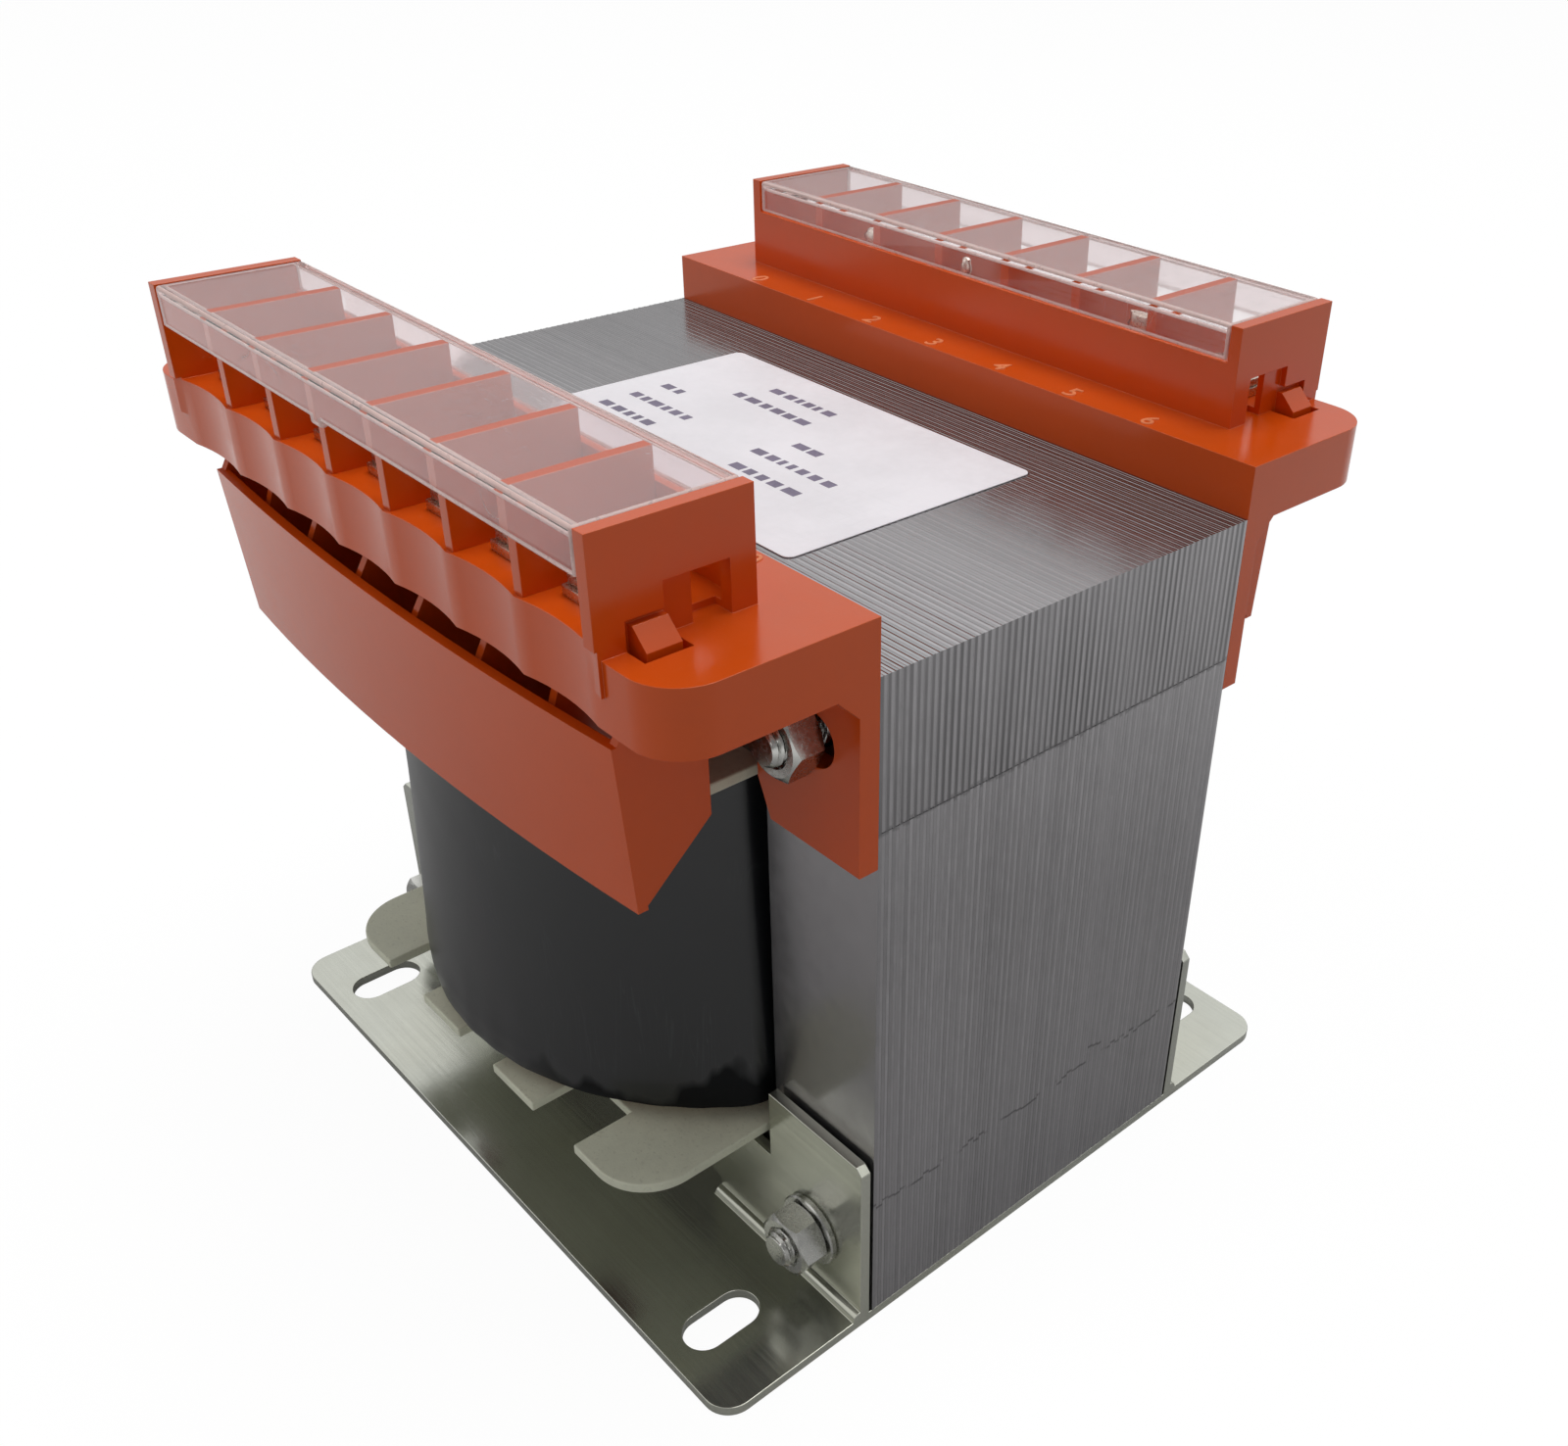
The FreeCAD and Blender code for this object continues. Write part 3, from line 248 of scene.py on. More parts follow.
def mesh_from(name, points, faces, crisp_from=None):
    """Object at the origin with the points, in millimetres, and the faces, turned outwards.

    It is shaded smooth but for edges sharper than the angle in degrees, and flat where no angle is given.
    """
    mesh = bpy.data.meshes.new(name)
    mesh.from_pydata(np.asarray(points) * MILLIMETRE, [], [tuple(int(v) for v in face) for face in faces])
    working = bmesh.new()
    working.from_mesh(mesh)
    seal(working)
    working.to_mesh(mesh)
    working.free()
    if crisp_from is not None:
        mesh.polygons.foreach_set("use_smooth", np.ones(len(mesh.polygons), bool))
        mesh.set_sharp_from_angle(angle=math.radians(crisp_from))
    return linked(name, mesh)


def joined(grids):
    """Points and faces of several (points, faces) pairs as one pair."""
    sets = [np.reshape(points, (-1, 3)) for points, _ in grids]
    starts = np.cumsum([0] + [len(points) for points in sets[:-1]])
    return np.concatenate(sets), [face for (_, quads), start in zip(grids, starts) for face in quads + start]


def dress(made, finish, slot, *nodes):
    """Gives a piece its finish and the body it rides on, and hides the CAD nodes it stands for; the record
    slot is not used.
    """
    made.data.materials.append(finish_named(finish))
    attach(made, "root")
    if nodes:
        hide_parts(*nodes)


def dress_node(name, finish):
    """Puts a finish on a CAD node that stays."""
    materials = cad_nodes[name].data.materials
    materials.clear()
    materials.append(finish_named(finish))


def rounded_piece(name, nodes, rounding, finish, slot, segments=2):
    """Dressed piece in place of CAD nodes: merged, with flat faces joined and sharp edges rounded."""
    working = bmesh.new()
    for node in nodes:
        working.from_mesh(cad_nodes[node].data)
    bmesh.ops.remove_doubles(working, verts=working.verts, dist=2e-6)
    bmesh.ops.dissolve_limit(
        working, angle_limit=math.radians(0.6), verts=working.verts, edges=working.edges, delimit={"NORMAL"})
    mesh = bpy.data.meshes.new(name)
    working.to_mesh(mesh)
    working.free()
    mesh.polygons.foreach_set("use_smooth", np.ones(len(mesh.polygons), bool))
    made = linked(name, mesh)
    bevel = made.modifiers.new("Rounded edges", "BEVEL")
    bevel.width = size_setting(rounding)
    bevel.segments = segments
    bevel.limit_method = "ANGLE"
    bevel.angle_limit = math.radians(30)
    bevel.use_clamp_overlap = True
    bevel.harden_normals = True
    made.modifiers.new("Even shading", "WEIGHTED_NORMAL").keep_sharp = True
    dress(made, finish, slot, *nodes)
    return made


# Shader nodes


class Graph:
    """Short calls for adding and joining shader nodes in one tree."""

    def __init__(self, tree):
        """Keeps the tree that the nodes go into."""
        self.tree = tree

    def put(self, value, socket):
        """Links a socket to the input or sets it to a plain value; a bare colour gets an alpha of one."""
        if isinstance(value, bpy.types.NodeSocket):
            self.tree.links.new(value, socket)
        elif socket.type == "RGBA" and len(value) == 3:
            socket.default_value = (*value, 1.0)
        else:
            socket.default_value = value

    def add(self, kind, inputs=None, **settings):
        """New node: its settings are made first, and its inputs are fed then."""
        node = self.tree.nodes.new(kind)
        for word, value in settings.items():
            setattr(node, word, value)
        for word, value in (inputs or {}).items():
            self.put(value, node.inputs[word])
        return node

    def math(self, operation, first, second=0.0, clamp=False):
        """Result of a math node."""
        node = self.add("ShaderNodeMath", {0: first, 1: second}, operation=operation, use_clamp=clamp)
        return node.outputs[0]

    def times(self, first, second, clamp=False):
        """Product of two values."""
        return self.math("MULTIPLY", first, second, clamp)

    def plus(self, first, second):
        """Sum of two values."""
        return self.math("ADD", first, second)

    def rest(self, share):
        """One less the share."""
        return self.math("SUBTRACT", 1.0, share)

    def off(self, value, level):
        """How far a value lies from a level, either way."""
        return self.math("ABSOLUTE", self.math("SUBTRACT", value, level))

    def noise(self, vector, scale, detail=3.0, roughness=0.5):
        """Cloudy noise between nought and one."""
        inputs = {"Vector": vector, "Scale": scale, "Detail": detail, "Roughness": roughness}
        return self.add("ShaderNodeTexNoise", inputs).outputs["Fac"]

    def chance(self, number):
        """Random value of its own for each number."""
        return self.add("ShaderNodeTexWhiteNoise", {"W": number}, noise_dimensions="1D").outputs["Value"]

    def spread(self, value, low, high, to_low=0.0, to_high=1.0):
        """Value carried in a straight line from low and high onto to_low and to_high, and held there."""
        inputs = {"Value": value, "From Min": low, "From Max": high, "To Min": to_low, "To Max": to_high}
        return self.add("ShaderNodeMapRange", inputs, clamp=True).outputs["Result"]

    def stretch(self, vector, scale, turn=(0, 0, 0)):
        """Coordinates turned and scaled along each axis."""
        inputs = {"Vector": vector, "Scale": scale, "Rotation": turn}
        return self.add("ShaderNodeMapping", inputs).outputs["Vector"]

    def blend(self, share, first, second):
        """Mix of two colours."""
        inputs = {0: share, 6: first, 7: second}
        return self.add("ShaderNodeMix", inputs, data_type="RGBA", clamp_factor=True).outputs[2]

    def parts(self, vector):
        """X, Y and Z of a vector."""
        return self.add("ShaderNodeSeparateXYZ", {"Vector": vector}).outputs


class SharedGroup(Graph):
    """Node group in the making: it takes a place and numbers, and gives tones, masks and heights."""

    def __init__(self, name, inputs, outputs):
        """Makes the group's sockets and the nodes that stand for them."""
        super().__init__(bpy.data.node_groups.new(name, "ShaderNodeTree"))
        sockets = self.tree.interface
        sockets.new_socket(name="Place", in_out="INPUT", socket_type="NodeSocketVector")
        for word, default in inputs.items():
            socket = sockets.new_socket(name=word, in_out="INPUT", socket_type="NodeSocketFloat")
            socket.default_value = default
        for word in outputs:
            sockets.new_socket(name=word, in_out="OUTPUT", socket_type="NodeSocketFloat")
        self.given = self.add("NodeGroupInput").outputs
        self.place = self.given["Place"]
        self.result = self.add("NodeGroupOutput")

    def give(self, word, value):
        """Links a value to the output of that name."""
        self.put(value, self.result.inputs[word])


def patch_tone(group):
    """Slow, soft variation of tone over a surface, with a finer cloud on top."""
    slow = group.noise(group.place, group.given["Scale"], 2.0)
    fine = group.noise(group.place, group.times(group.given["Scale"], 9.0), 4.0, 0.6)
    mixed = group.plus(group.times(slow, 0.7), group.times(fine, 0.3))
    group.give("Tone", group.spread(mixed, 0.32, 0.68))
    group.give("Fine", group.spread(fine, 0.3, 0.7))


def surface_grain(group):
    """Height of a moulded or rolled skin: fine grain over a slow unevenness."""
    grain = group.noise(group.place, group.given["Grain scale"], 2.0)
    wave = group.noise(group.place, group.given["Wave scale"], 1.0)
    share = group.given["Wave share"]
    group.give("Height", group.plus(group.times(wave, share), group.times(grain, group.rest(share))))


def edge_wear(group):
    """Mask of the rounded edge strips, where true and smoothed normal part, broken by noise: used for rubbed
    wear, and in the moulding also for a painted highlight.
    """
    geometry = group.add("ShaderNodeNewGeometry").outputs
    both = {0: geometry["True Normal"], 1: geometry["Normal"]}
    agreement = group.add("ShaderNodeVectorMath", both, operation="DOT_PRODUCT").outputs["Value"]
    edge = group.spread(group.rest(agreement), 0.004, 0.05)
    broken = group.spread(group.noise(group.place, group.given["Break"], 3.0, 0.6), 0.34, 0.62, 0.35, 1.0)
    group.give("Mask", group.times(edge, broken, clamp=True))


def settled_dust(group):
    """Mask of settled dust: upward faces, thicker in soft patches, with a few specks."""
    upward = group.parts(group.add("ShaderNodeNewGeometry").outputs["Normal"])["Z"]
    patches = group.spread(group.noise(group.place, 90.0, 5.0, 0.65), 0.35, 0.75)
    specks = group.spread(group.noise(group.place, 1900.0, 1.0), 0.66, 0.74)
    layer = group.times(group.spread(upward, 0.3, 1.0), group.plus(patches, specks))
    group.give("Mask", group.times(layer, group.given["Amount"], clamp=True))


def fine_scratches(group):
    """Mask of thin straight scratches: noise stretched along two directions, cut close to its middle."""
    patch = group.spread(group.noise(group.place, 55.0, 1.0), 0.52, 0.62)
    masks = []
    for turn, lengthen in (((0.2, 0.1, 0.7), (1, 40, 1)), ((0.1, 0.3, -0.4), (36, 1, 1))):
        lines = group.noise(group.stretch(group.place, lengthen, turn), group.given["Scale"], 2.0, 0.4)
        masks.append(group.times(group.spread(group.off(lines, 0.5), 0.0, 0.008, 1.0, 0.0), patch))
    group.give("Mask", group.math("MAXIMUM", *masks))


def lamination_edges(group):
    """Core sheets counted along Y: a tone for each, the line between two, streaks, and every second sheet."""
    where = group.parts(group.place)
    count = group.times(where["Y"], group.given["Sheets"])
    number = group.math("FLOOR", count)
    across = group.add("ShaderNodeCombineXYZ", {
        "X": group.times(where["X"], 300.0),
        "Y": group.times(number, 7.31),
        "Z": group.times(where["Z"], 300.0),
    }).outputs["Vector"]
    group.give("Tone", group.chance(number))
    group.give("Line", group.spread(group.off(group.math("FRACT", count), 0.5), 0.32, 0.48))
    group.give("Streak", group.spread(group.noise(across, 1.0, 3.0, 0.6), 0.35, 0.7))
    group.give("Second", group.math("MODULO", group.plus(number, 1000.0), 2.0))


def lower_seam(group):
    """Jagged line low on the right side: its height jumps from one millimetre of depth to the next."""
    where = group.parts(group.place)
    jag = group.chance(group.math("FLOOR", group.times(where["Y"], 1000.0)))
    step = group.spread(where["Y"], 0.0098, 0.0100, 0.0, 0.0024)
    drop = group.spread(where["Y"], 0.0128, 0.0130, 0.0, -0.0024)
    level = group.plus(group.plus(step, drop), group.spread(jag, 0.0, 1.0, 0.0203, 0.0213))
    line = group.spread(group.off(where["Z"], level), 0.00008, 0.00028, 1.0, 0.0)
    present = group.spread(group.noise(group.stretch(group.place, (0, 1, 0)), 160.0, 1.0), 0.42, 0.5)
    side = group.spread(where["X"], 0.0565, 0.0567)
    group.give("Mask", group.times(group.times(line, present), side, clamp=True))


# Maker, numbers taken beside the place, and outputs of each shared group
GROUPS = {
    "Patch tone": (patch_tone, {"Scale": 60.0}, ["Tone", "Fine"]),
    "Surface grain": (
        surface_grain, {"Grain scale": 2500.0, "Wave scale": 120.0, "Wave share": 0.6}, ["Height"]),
    "Edge wear": (edge_wear, {"Break": 400.0}, ["Mask"]),
    "Settled dust": (settled_dust, {"Amount": 0.2}, ["Mask"]),
    "Fine scratches": (fine_scratches, {"Scale": 60.0}, ["Mask"]),
    "Lamination edges": (lamination_edges, {"Sheets": 2000.0}, ["Tone", "Line", "Streak", "Second"]),
    "Lower seam": (lower_seam, {}, ["Mask"]),
}


def shared_tree(name):
    """The named group's tree, built at its first use."""
    kept = bpy.data.node_groups.get(name)
    if kept is not None:
        return kept
    maker, inputs, outputs = GROUPS[name]
    group = SharedGroup(name, inputs, outputs)
    maker(group)
    return group.tree


# Finishes


class Finish(Graph):
    """Material in the making: a Principled shader that is fed from object coordinates."""

    def __init__(self, name, colour):
        """Makes the material with its shader, and keeps its main colour."""
        self.colour = tuple(colour)
        self.material = bpy.data.materials.new(name)
        self.material.use_nodes = True
        super().__init__(self.material.node_tree)
        self.shader = self.tree.nodes["Principled BSDF"]
        self.place = self.add("ShaderNodeTexCoord").outputs["Object"]

    def feed(self, word, value):
        """Feeds a socket of the shader, or sets it."""
        self.put(value, self.shader.inputs[word])

    def shared(self, name, inputs=None):
        """Outputs of a shared group placed with these numbers."""
        given = {"Place": self.place, **(inputs or {})}
        return self.add("ShaderNodeGroup", given, node_tree=shared_tree(name)).outputs

    def shade(self, level):
        """The main colour times a level, no channel above one."""
        return tuple(min(1.0, channel * level) for channel in self.colour)

    def mask(self, name, **inputs):
        """Mask of a shared group."""
        return self.shared(name, inputs)["Mask"]

    def vary(self, share, low, high):
        """The main colour, running from its low level to its high one."""
        return self.blend(share, self.shade(low), self.shade(high))

    def mottled(self, scale, low, high):
        """The main colour in slow patches between two levels, and the fine cloud over them."""
        tone = self.shared("Patch tone", {"Scale": scale})
        return self.vary(tone["Tone"], low, high), tone["Fine"]

    def rough(self, value, low, high):
        """Feeds the roughness with a value of nought to one spread from low to high."""
        self.feed("Roughness", self.spread(value, 0.0, 1.0, low, high))

    def grain(self, grain_scale, wave_scale=120.0, wave_share=0.6):
        """Height of the surface's grain and waves."""
        inputs = {"Grain scale": grain_scale, "Wave scale": wave_scale, "Wave share": wave_share}
        return self.shared("Surface grain", inputs)["Height"]

    def bump(self, height, strength, distance):
        """Feeds the normal with a height."""
        inputs = {"Height": height, "Strength": strength, "Distance": distance}
        self.feed("Normal", self.add("ShaderNodeBump", inputs).outputs["Normal"])


def moulded_plastic(finish, rubbed_edge_and_highlight, grain_scale):
    """Glossy moulding: slow flow marks, paler edges of rubbed wear and painted highlight, faint dust and a
    fine grain.
    """
    wear, dust = finish_settings().wear, finish_settings().dust
    body, fine = finish.mottled(45.0, 0.97, 1.03)
    # Paler edges: rubbed wear, set by the wear setting, and a painted highlight, set by the fixed share of
    # 0.1
    body = finish.blend(finish.times(finish.mask("Edge wear"), 0.6 * wear + 0.1), body, rubbed_edge_and_highlight)
    body = finish.blend(finish.mask("Settled dust", Amount=0.3 * dust), body, linear(206, 150, 120))
    finish.feed("Base Color", body)
    finish.rough(fine, 0.17, 0.23)
    finish.feed("Specular IOR Level", 0.36)
    finish.feed("Specular Tint", (1.0, 0.94, 0.82))
    finish.bump(finish.grain(grain_scale, 55.0, 0.9), 0.12, 0.0005)


def pale_former(finish):
    """Pale glass-filled plastic, slightly cloudy, with a fine speckle."""
    body, fine = finish.mottled(80.0, 0.88, 1.08)
    speckle = finish.times(finish.spread(finish.noise(finish.place, 2200.0, 2.0), 0.6, 0.72), 0.18)
    finish.feed("Base Color", finish.blend(speckle, body, linear(120, 120, 96)))
    finish.rough(fine, 0.42, 0.58)
    finish.bump(finish.grain(1800.0), 0.2, 0.0004)


def clear_cover(finish):
    """Clear plastic with a slight haze, scratches and rubbed edges that scatter more light."""
    body, fine = finish.mottled(50.0, 0.97, 1.03)
    marks = finish.times(finish.mask("Fine scratches", Scale=42.0), 0.5)
    haze = finish.math("MAXIMUM", marks, finish.times(finish.mask("Edge wear"), 0.7))
    finish.feed("Base Color", finish.blend(haze, body, linear(250, 246, 246)))
    polish = finish.spread(fine, 0.0, 1.0, 0.02, 0.06)
    finish.feed("Roughness", finish.plus(polish, finish.times(haze, 0.5)))
    finish.feed("Transmission Weight", 0.995)
    finish.feed("IOR", 1.49)
    finish.bump(finish.grain(900.0, 40.0, 0.97), 0.06, 0.0005)


def cover_edge(finish):
    """Rounded rims of the covers: the same plastic, frosted, with a pale colour that is a painted highlight
    of their lit edges.
    """
    body, fine = finish.mottled(160.0, 0.85, 1.0)
    finish.feed("Base Color", body)
    finish.rough(fine, 0.25, 0.4)
    finish.feed("Transmission Weight", 0.2)
    finish.feed("IOR", 1.49)
    finish.bump(fine, 0.05, 0.0001)


def zinc_sheet(finish):
    """Passivated zinc with a rolled direction, faint yellow patches and brighter cut edges."""
    body, fine = finish.mottled(28.0, 0.92, 1.06)
    yellow = finish.spread(finish.noise(finish.place, 22.0, 3.0), 0.45, 0.75, 0.0, 0.2)
    body = finish.blend(yellow, body, linear(176, 170, 128))
    rolled = finish.noise(finish.stretch(finish.place, (1, 60, 60)), 40.0, 4.0, 0.6)
    body = finish.blend(finish.spread(rolled, 0.35, 0.65, 0.0, 0.2), body, finish.shade(0.7))
    worn = finish.times(finish.mask("Edge wear"), finish_settings().wear)
    body = finish.blend(worn, body, linear(214, 214, 204))
    dust = finish.mask("Settled dust", Amount=finish_settings().dust)
    finish.feed("Base Color", finish.blend(dust, body, linear(150, 148, 138)))
    finish.feed("Metallic", 0.9)
    polish = finish.spread(rolled, 0.3, 0.7, 0.15, 0.24)
    finish.feed("Roughness", finish.plus(polish, finish.times(dust, 0.2)))
    finish.bump(finish.plus(finish.times(rolled, 0.4), finish.times(fine, 0.2)), 0.10, 0.0002)


def core_steel(finish):
    """Sheared sheet edges, each with its own tone, streaks along it, and dark lines between the sheets.

    Every second sheet of the upper stack stands back and is painted darker as its shade, and the upper
    stack's sides get a little painted shade. The pattern fades on the flat faces of the outermost sheets, and
    on the rear half of the top, which is smoother and painted darker as shade.
    """
    edges = finish.shared("Lamination edges", {"Sheets": 1 / size_setting("sheet_pitch")})
    facing = finish.parts(finish.add("ShaderNodeNewGeometry").outputs["True Normal"])
    where = finish.parts(finish.place)
    edge_share = finish.rest(finish.spread(finish.math("ABSOLUTE", facing["Y"]), 0.6, 0.9))
    upward = finish.spread(facing["Z"], 0.5, 0.8)
    shaded_rear_top = finish.times(upward, finish.spread(where["Y"], -0.012, 0.008))

    mixed = finish.plus(finish.times(edges["Tone"], 0.5), finish.times(edges["Streak"], 0.5))
    sheets = finish.vary(mixed, 0.84, 1.10)
    upper = finish.spread(where["Z"], 0.0772, 0.0776, 0.28, 1.0)
    patch = finish.noise(finish.stretch(finish.place, (0.2, 1, 0.2)), 150.0, 1.0)
    patch = finish.spread(patch, 0.3, 0.65, 0.6, 1.0)
    # Painted shade: every second sheet of the upper stack darker, less on the top and on the rear of the top
    set_back_shade = finish.times(finish.times(edges["Second"], upper), patch)
    set_back_shade = finish.times(set_back_shade, finish.rest(finish.times(shaded_rear_top, 0.85)))
    set_back_shade = finish.times(set_back_shade, finish.spread(upward, 0.0, 1.0, 0.88, 0.36))
    sheets = finish.blend(set_back_shade, sheets, finish.shade(0.26))
    sheets = finish.blend(finish.times(edges["Line"], 0.25), sheets, finish.shade(0.4))
    sheets = finish.blend(finish.times(finish.mask("Lower seam"), 0.8), sheets, finish.shade(0.2))
    level = finish.spread(edges["Tone"], 0.0, 1.0, 0.0772, 0.0778)
    joint = finish.spread(finish.off(where["Z"], level), 0.00014, 0.0004, 0.45, 0.0)
    sheets = finish.blend(joint, sheets, finish.shade(0.3))
    shaded = finish.times(finish.spread(where["Z"], 0.0772, 0.0776, 0.0, 0.1), finish.rest(upward))
    sheets = finish.blend(shaded, sheets, finish.shade(0.3))

    body, fine = finish.mottled(30.0, 0.98, 1.14)
    body = finish.blend(edge_share, body, sheets)
    blotch = finish.spread(finish.noise(finish.place, 26.0, 3.0), 0.42, 0.66, 0.0, 0.15)
    body = finish.blend(blotch, body, finish.shade(0.8))
    # Painted shade: the rear half of the top darker
    finish.feed("Base Color", finish.blend(finish.times(shaded_rear_top, 0.5), body, finish.shade(0.4)))
    finish.feed("Metallic", 0.92)
    finish.rough(edges["Streak"], 0.16, 0.25)
    lines = finish.times(finish.rest(edges["Line"]), edge_share)
    lines = finish.times(lines, finish.rest(finish.times(shaded_rear_top, 0.9)))
    finish.bump(finish.plus(lines, finish.times(fine, 0.1)), 0.2, 0.00006)


def wrap_film(finish):
    """Dark smooth film with faint scratches, and a ragged patch of painted shade along its lower edge at the
    right, darker and without reflection.
    """
    body, _ = finish.mottled(35.0, 0.85, 1.2)
    marks = finish.times(finish.mask("Fine scratches", Scale=30.0), 0.06)
    body = finish.blend(marks, body, linear(120, 124, 126))
    where = finish.parts(finish.place)
    ragged = finish.noise(finish.stretch(finish.place, (1, 1, 0.35)), 130.0, 2.5, 0.5)
    edge = finish.spread(ragged, 0.3, 0.7, 0.0245, 0.0345)
    below = finish.spread(finish.math("SUBTRACT", edge, where["Z"]), 0.0, 0.002)
    across = finish.plus(where["X"], finish.times(where["Z"], -0.2))
    # Painted shade: a ragged dark patch low on the right, with black metallic colour so that it shows no
    # reflection
    shaded_patch = finish.times(below, finish.spread(across, 0.004, 0.014, 0.0, 0.8), clamp=True)
    finish.feed("Base Color", finish.blend(shaded_patch, body, finish.shade(0.4)))
    finish.feed("Metallic", shaded_patch)
    finish.rough(shaded_patch, 0.34, 0.6)
    finish.feed("Specular IOR Level", 0.62)
    height = finish.math("SUBTRACT", finish.grain(900.0, 40.0, 0.96), finish.times(shaded_patch, 0.5))
    finish.bump(height, 0.18, 0.0006)


def copper_wire(finish):
    """Enamelled copper wire: warm metal with tone changes from turn to turn."""
    height = finish.parts(finish.place)["Z"]
    turns = finish.math("FLOOR", finish.times(height, 1 / size_setting("wire_diameter")))
    body = finish.vary(finish.chance(turns), 0.7, 1.15)
    tone = finish.shared("Patch tone", {"Scale": 120.0})
    finish.feed("Base Color", finish.blend(finish.times(tone["Tone"], 0.4), body, finish.shade(0.5)))
    finish.feed("Metallic", 0.6)
    finish.rough(tone["Fine"], 0.25, 0.4)
    finish.bump(tone["Fine"], 0.1, 0.0002)


def layer_film(finish):
    """Insulation film between the windings: pale, fibrous and matt."""
    fibres = finish.noise(finish.stretch(finish.place, (30, 30, 2)), 60.0, 4.0, 0.6)
    finish.feed("Base Color", finish.vary(finish.spread(fibres, 0.35, 0.65), 0.8, 1.08))
    finish.feed("Roughness", finish.spread(fibres, 0.3, 0.7, 0.55, 0.75))
    finish.bump(fibres, 0.2, 0.0003)


def plated_metal(finish, polish):
    """Bright plating: small dull patches, slightly worn edges and a fine unevenness."""
    body, fine = finish.mottled(260.0, 0.86, 1.08)
    worn = finish.times(finish.mask("Edge wear", Break=900.0), 0.6 * finish_settings().wear)
    finish.feed("Base Color", finish.blend(worn, body, linear(150, 146, 136)))
    finish.feed("Metallic", 1.0)
    finish.rough(fine, polish, polish + 0.16)
    finish.bump(finish.grain(5200.0, 900.0, 0.5), 0.06, 0.0001)


def label_paper(finish):
    """Coated paper, faintly mottled and finely scratched."""
    body, fine = finish.mottled(90.0, 0.93, 1.03)
    marks = finish.times(finish.mask("Fine scratches", Scale=26.0), 0.2)
    finish.feed("Base Color", finish.blend(marks, body, finish.shade(0.7)))
    finish.rough(fine, 0.36, 0.5)
    finish.bump(finish.noise(finish.place, 1600.0, 3.0), 0.12, 0.0002)


def printed_ink(finish):
    """Thin print: slightly uneven ink with pale pinholes."""
    body, fine = finish.mottled(220.0, 0.85, 1.2)
    pale = finish.spread(finish.noise(finish.place, 3200.0, 2.0), 0.6, 0.7, 0.0, 0.5)
    finish.feed("Base Color", finish.blend(pale, body, finish.shade(1.7)))
    finish.rough(fine, 0.4, 0.6)
    finish.bump(pale, 0.1, 0.0001)


# Maker and colour setting of each finish, and what else its maker takes
FINISHES = {
    # The mouldings' paler edge colours are rubbed wear and a painted highlight
    "Orange moulding": (moulded_plastic, "moulding", linear(232, 128, 84), 2600.0),
    "Lead sleeve": (moulded_plastic, "sleeve", linear(110, 96, 90), 1800.0),
    "Pale former": (pale_former, "former"),
    "Clear cover": (clear_cover, "cover"),
    "Cover rim": (cover_edge, "cover_rim"),
    "Zinc sheet": (zinc_sheet, "zinc"),
    "Core steel": (core_steel, "lamination"),
    "Wrap film": (wrap_film, "wrap"),
    "Copper wire": (copper_wire, "copper"),
    "Layer film": (layer_film, "film"),
    "Terminal plating": (plated_metal, "terminal", 0.2),
    "Fastener plating": (plated_metal, "fastener", 0.16),
    "Label paper": (label_paper, "label"),
    "Label ink": (printed_ink, "label_mark"),
    "Numeral ink": (printed_ink, "numeral"),
}


def finish_named(name):
    """The material of that name, made at its first use and shared afterwards."""
    kept = bpy.data.materials.get(name)
    if kept is not None:
        return kept
    maker, setting, *details = FINISHES[name]
    finish = Finish(name, getattr(finish_settings(), setting))
    maker(finish, *details)
    return finish.material


# Shapes


def even_turn(count):
    """Angles at even steps of one whole turn."""
    return np.arange(count) * 2 * np.pi / count


def row_about(radius, along, turn):
    """Row of points about the Y axis: radius times cosine, place along Y, radius times sine."""
    return np.stack([radius * np.cos(turn), along + 0 * turn, radius * np.sin(turn)], axis=1)


def sheet_stations(half_depth, seed, step):
    """Places along Y, in order, with the inset of the stack's skin at each.

    A sheet's inset is random up to the play, and every second one has the step on top. A groove deeper than
    both its neighbours lies at the line between two sheets.
    """
    line, end_inset = 0.06, 0.02
    count = int(round(2 * half_depth / sized("sheet_pitch")))
    play = sized("sheet_play") * np.random.default_rng(seed).random(count)
    play += np.arange(count) % 2 * step
    play[[0, -1]] = 0.0
    edges = -half_depth + np.arange(count + 1) * (2 * half_depth / count)
    flats = np.stack([edges[:-1] + line, edges[1:] - line], axis=1).reshape(-1)
    grooves = np.maximum(play[:-1], play[1:]) + sized("sheet_groove")
    stations = np.concatenate([[-half_depth], flats, edges[1:-1], [half_depth]])
    insets = np.concatenate([[end_inset], np.repeat(play, 2), grooves, [end_inset]])
    order = np.argsort(stations, kind="stable")
    return stations[order], insets[order]


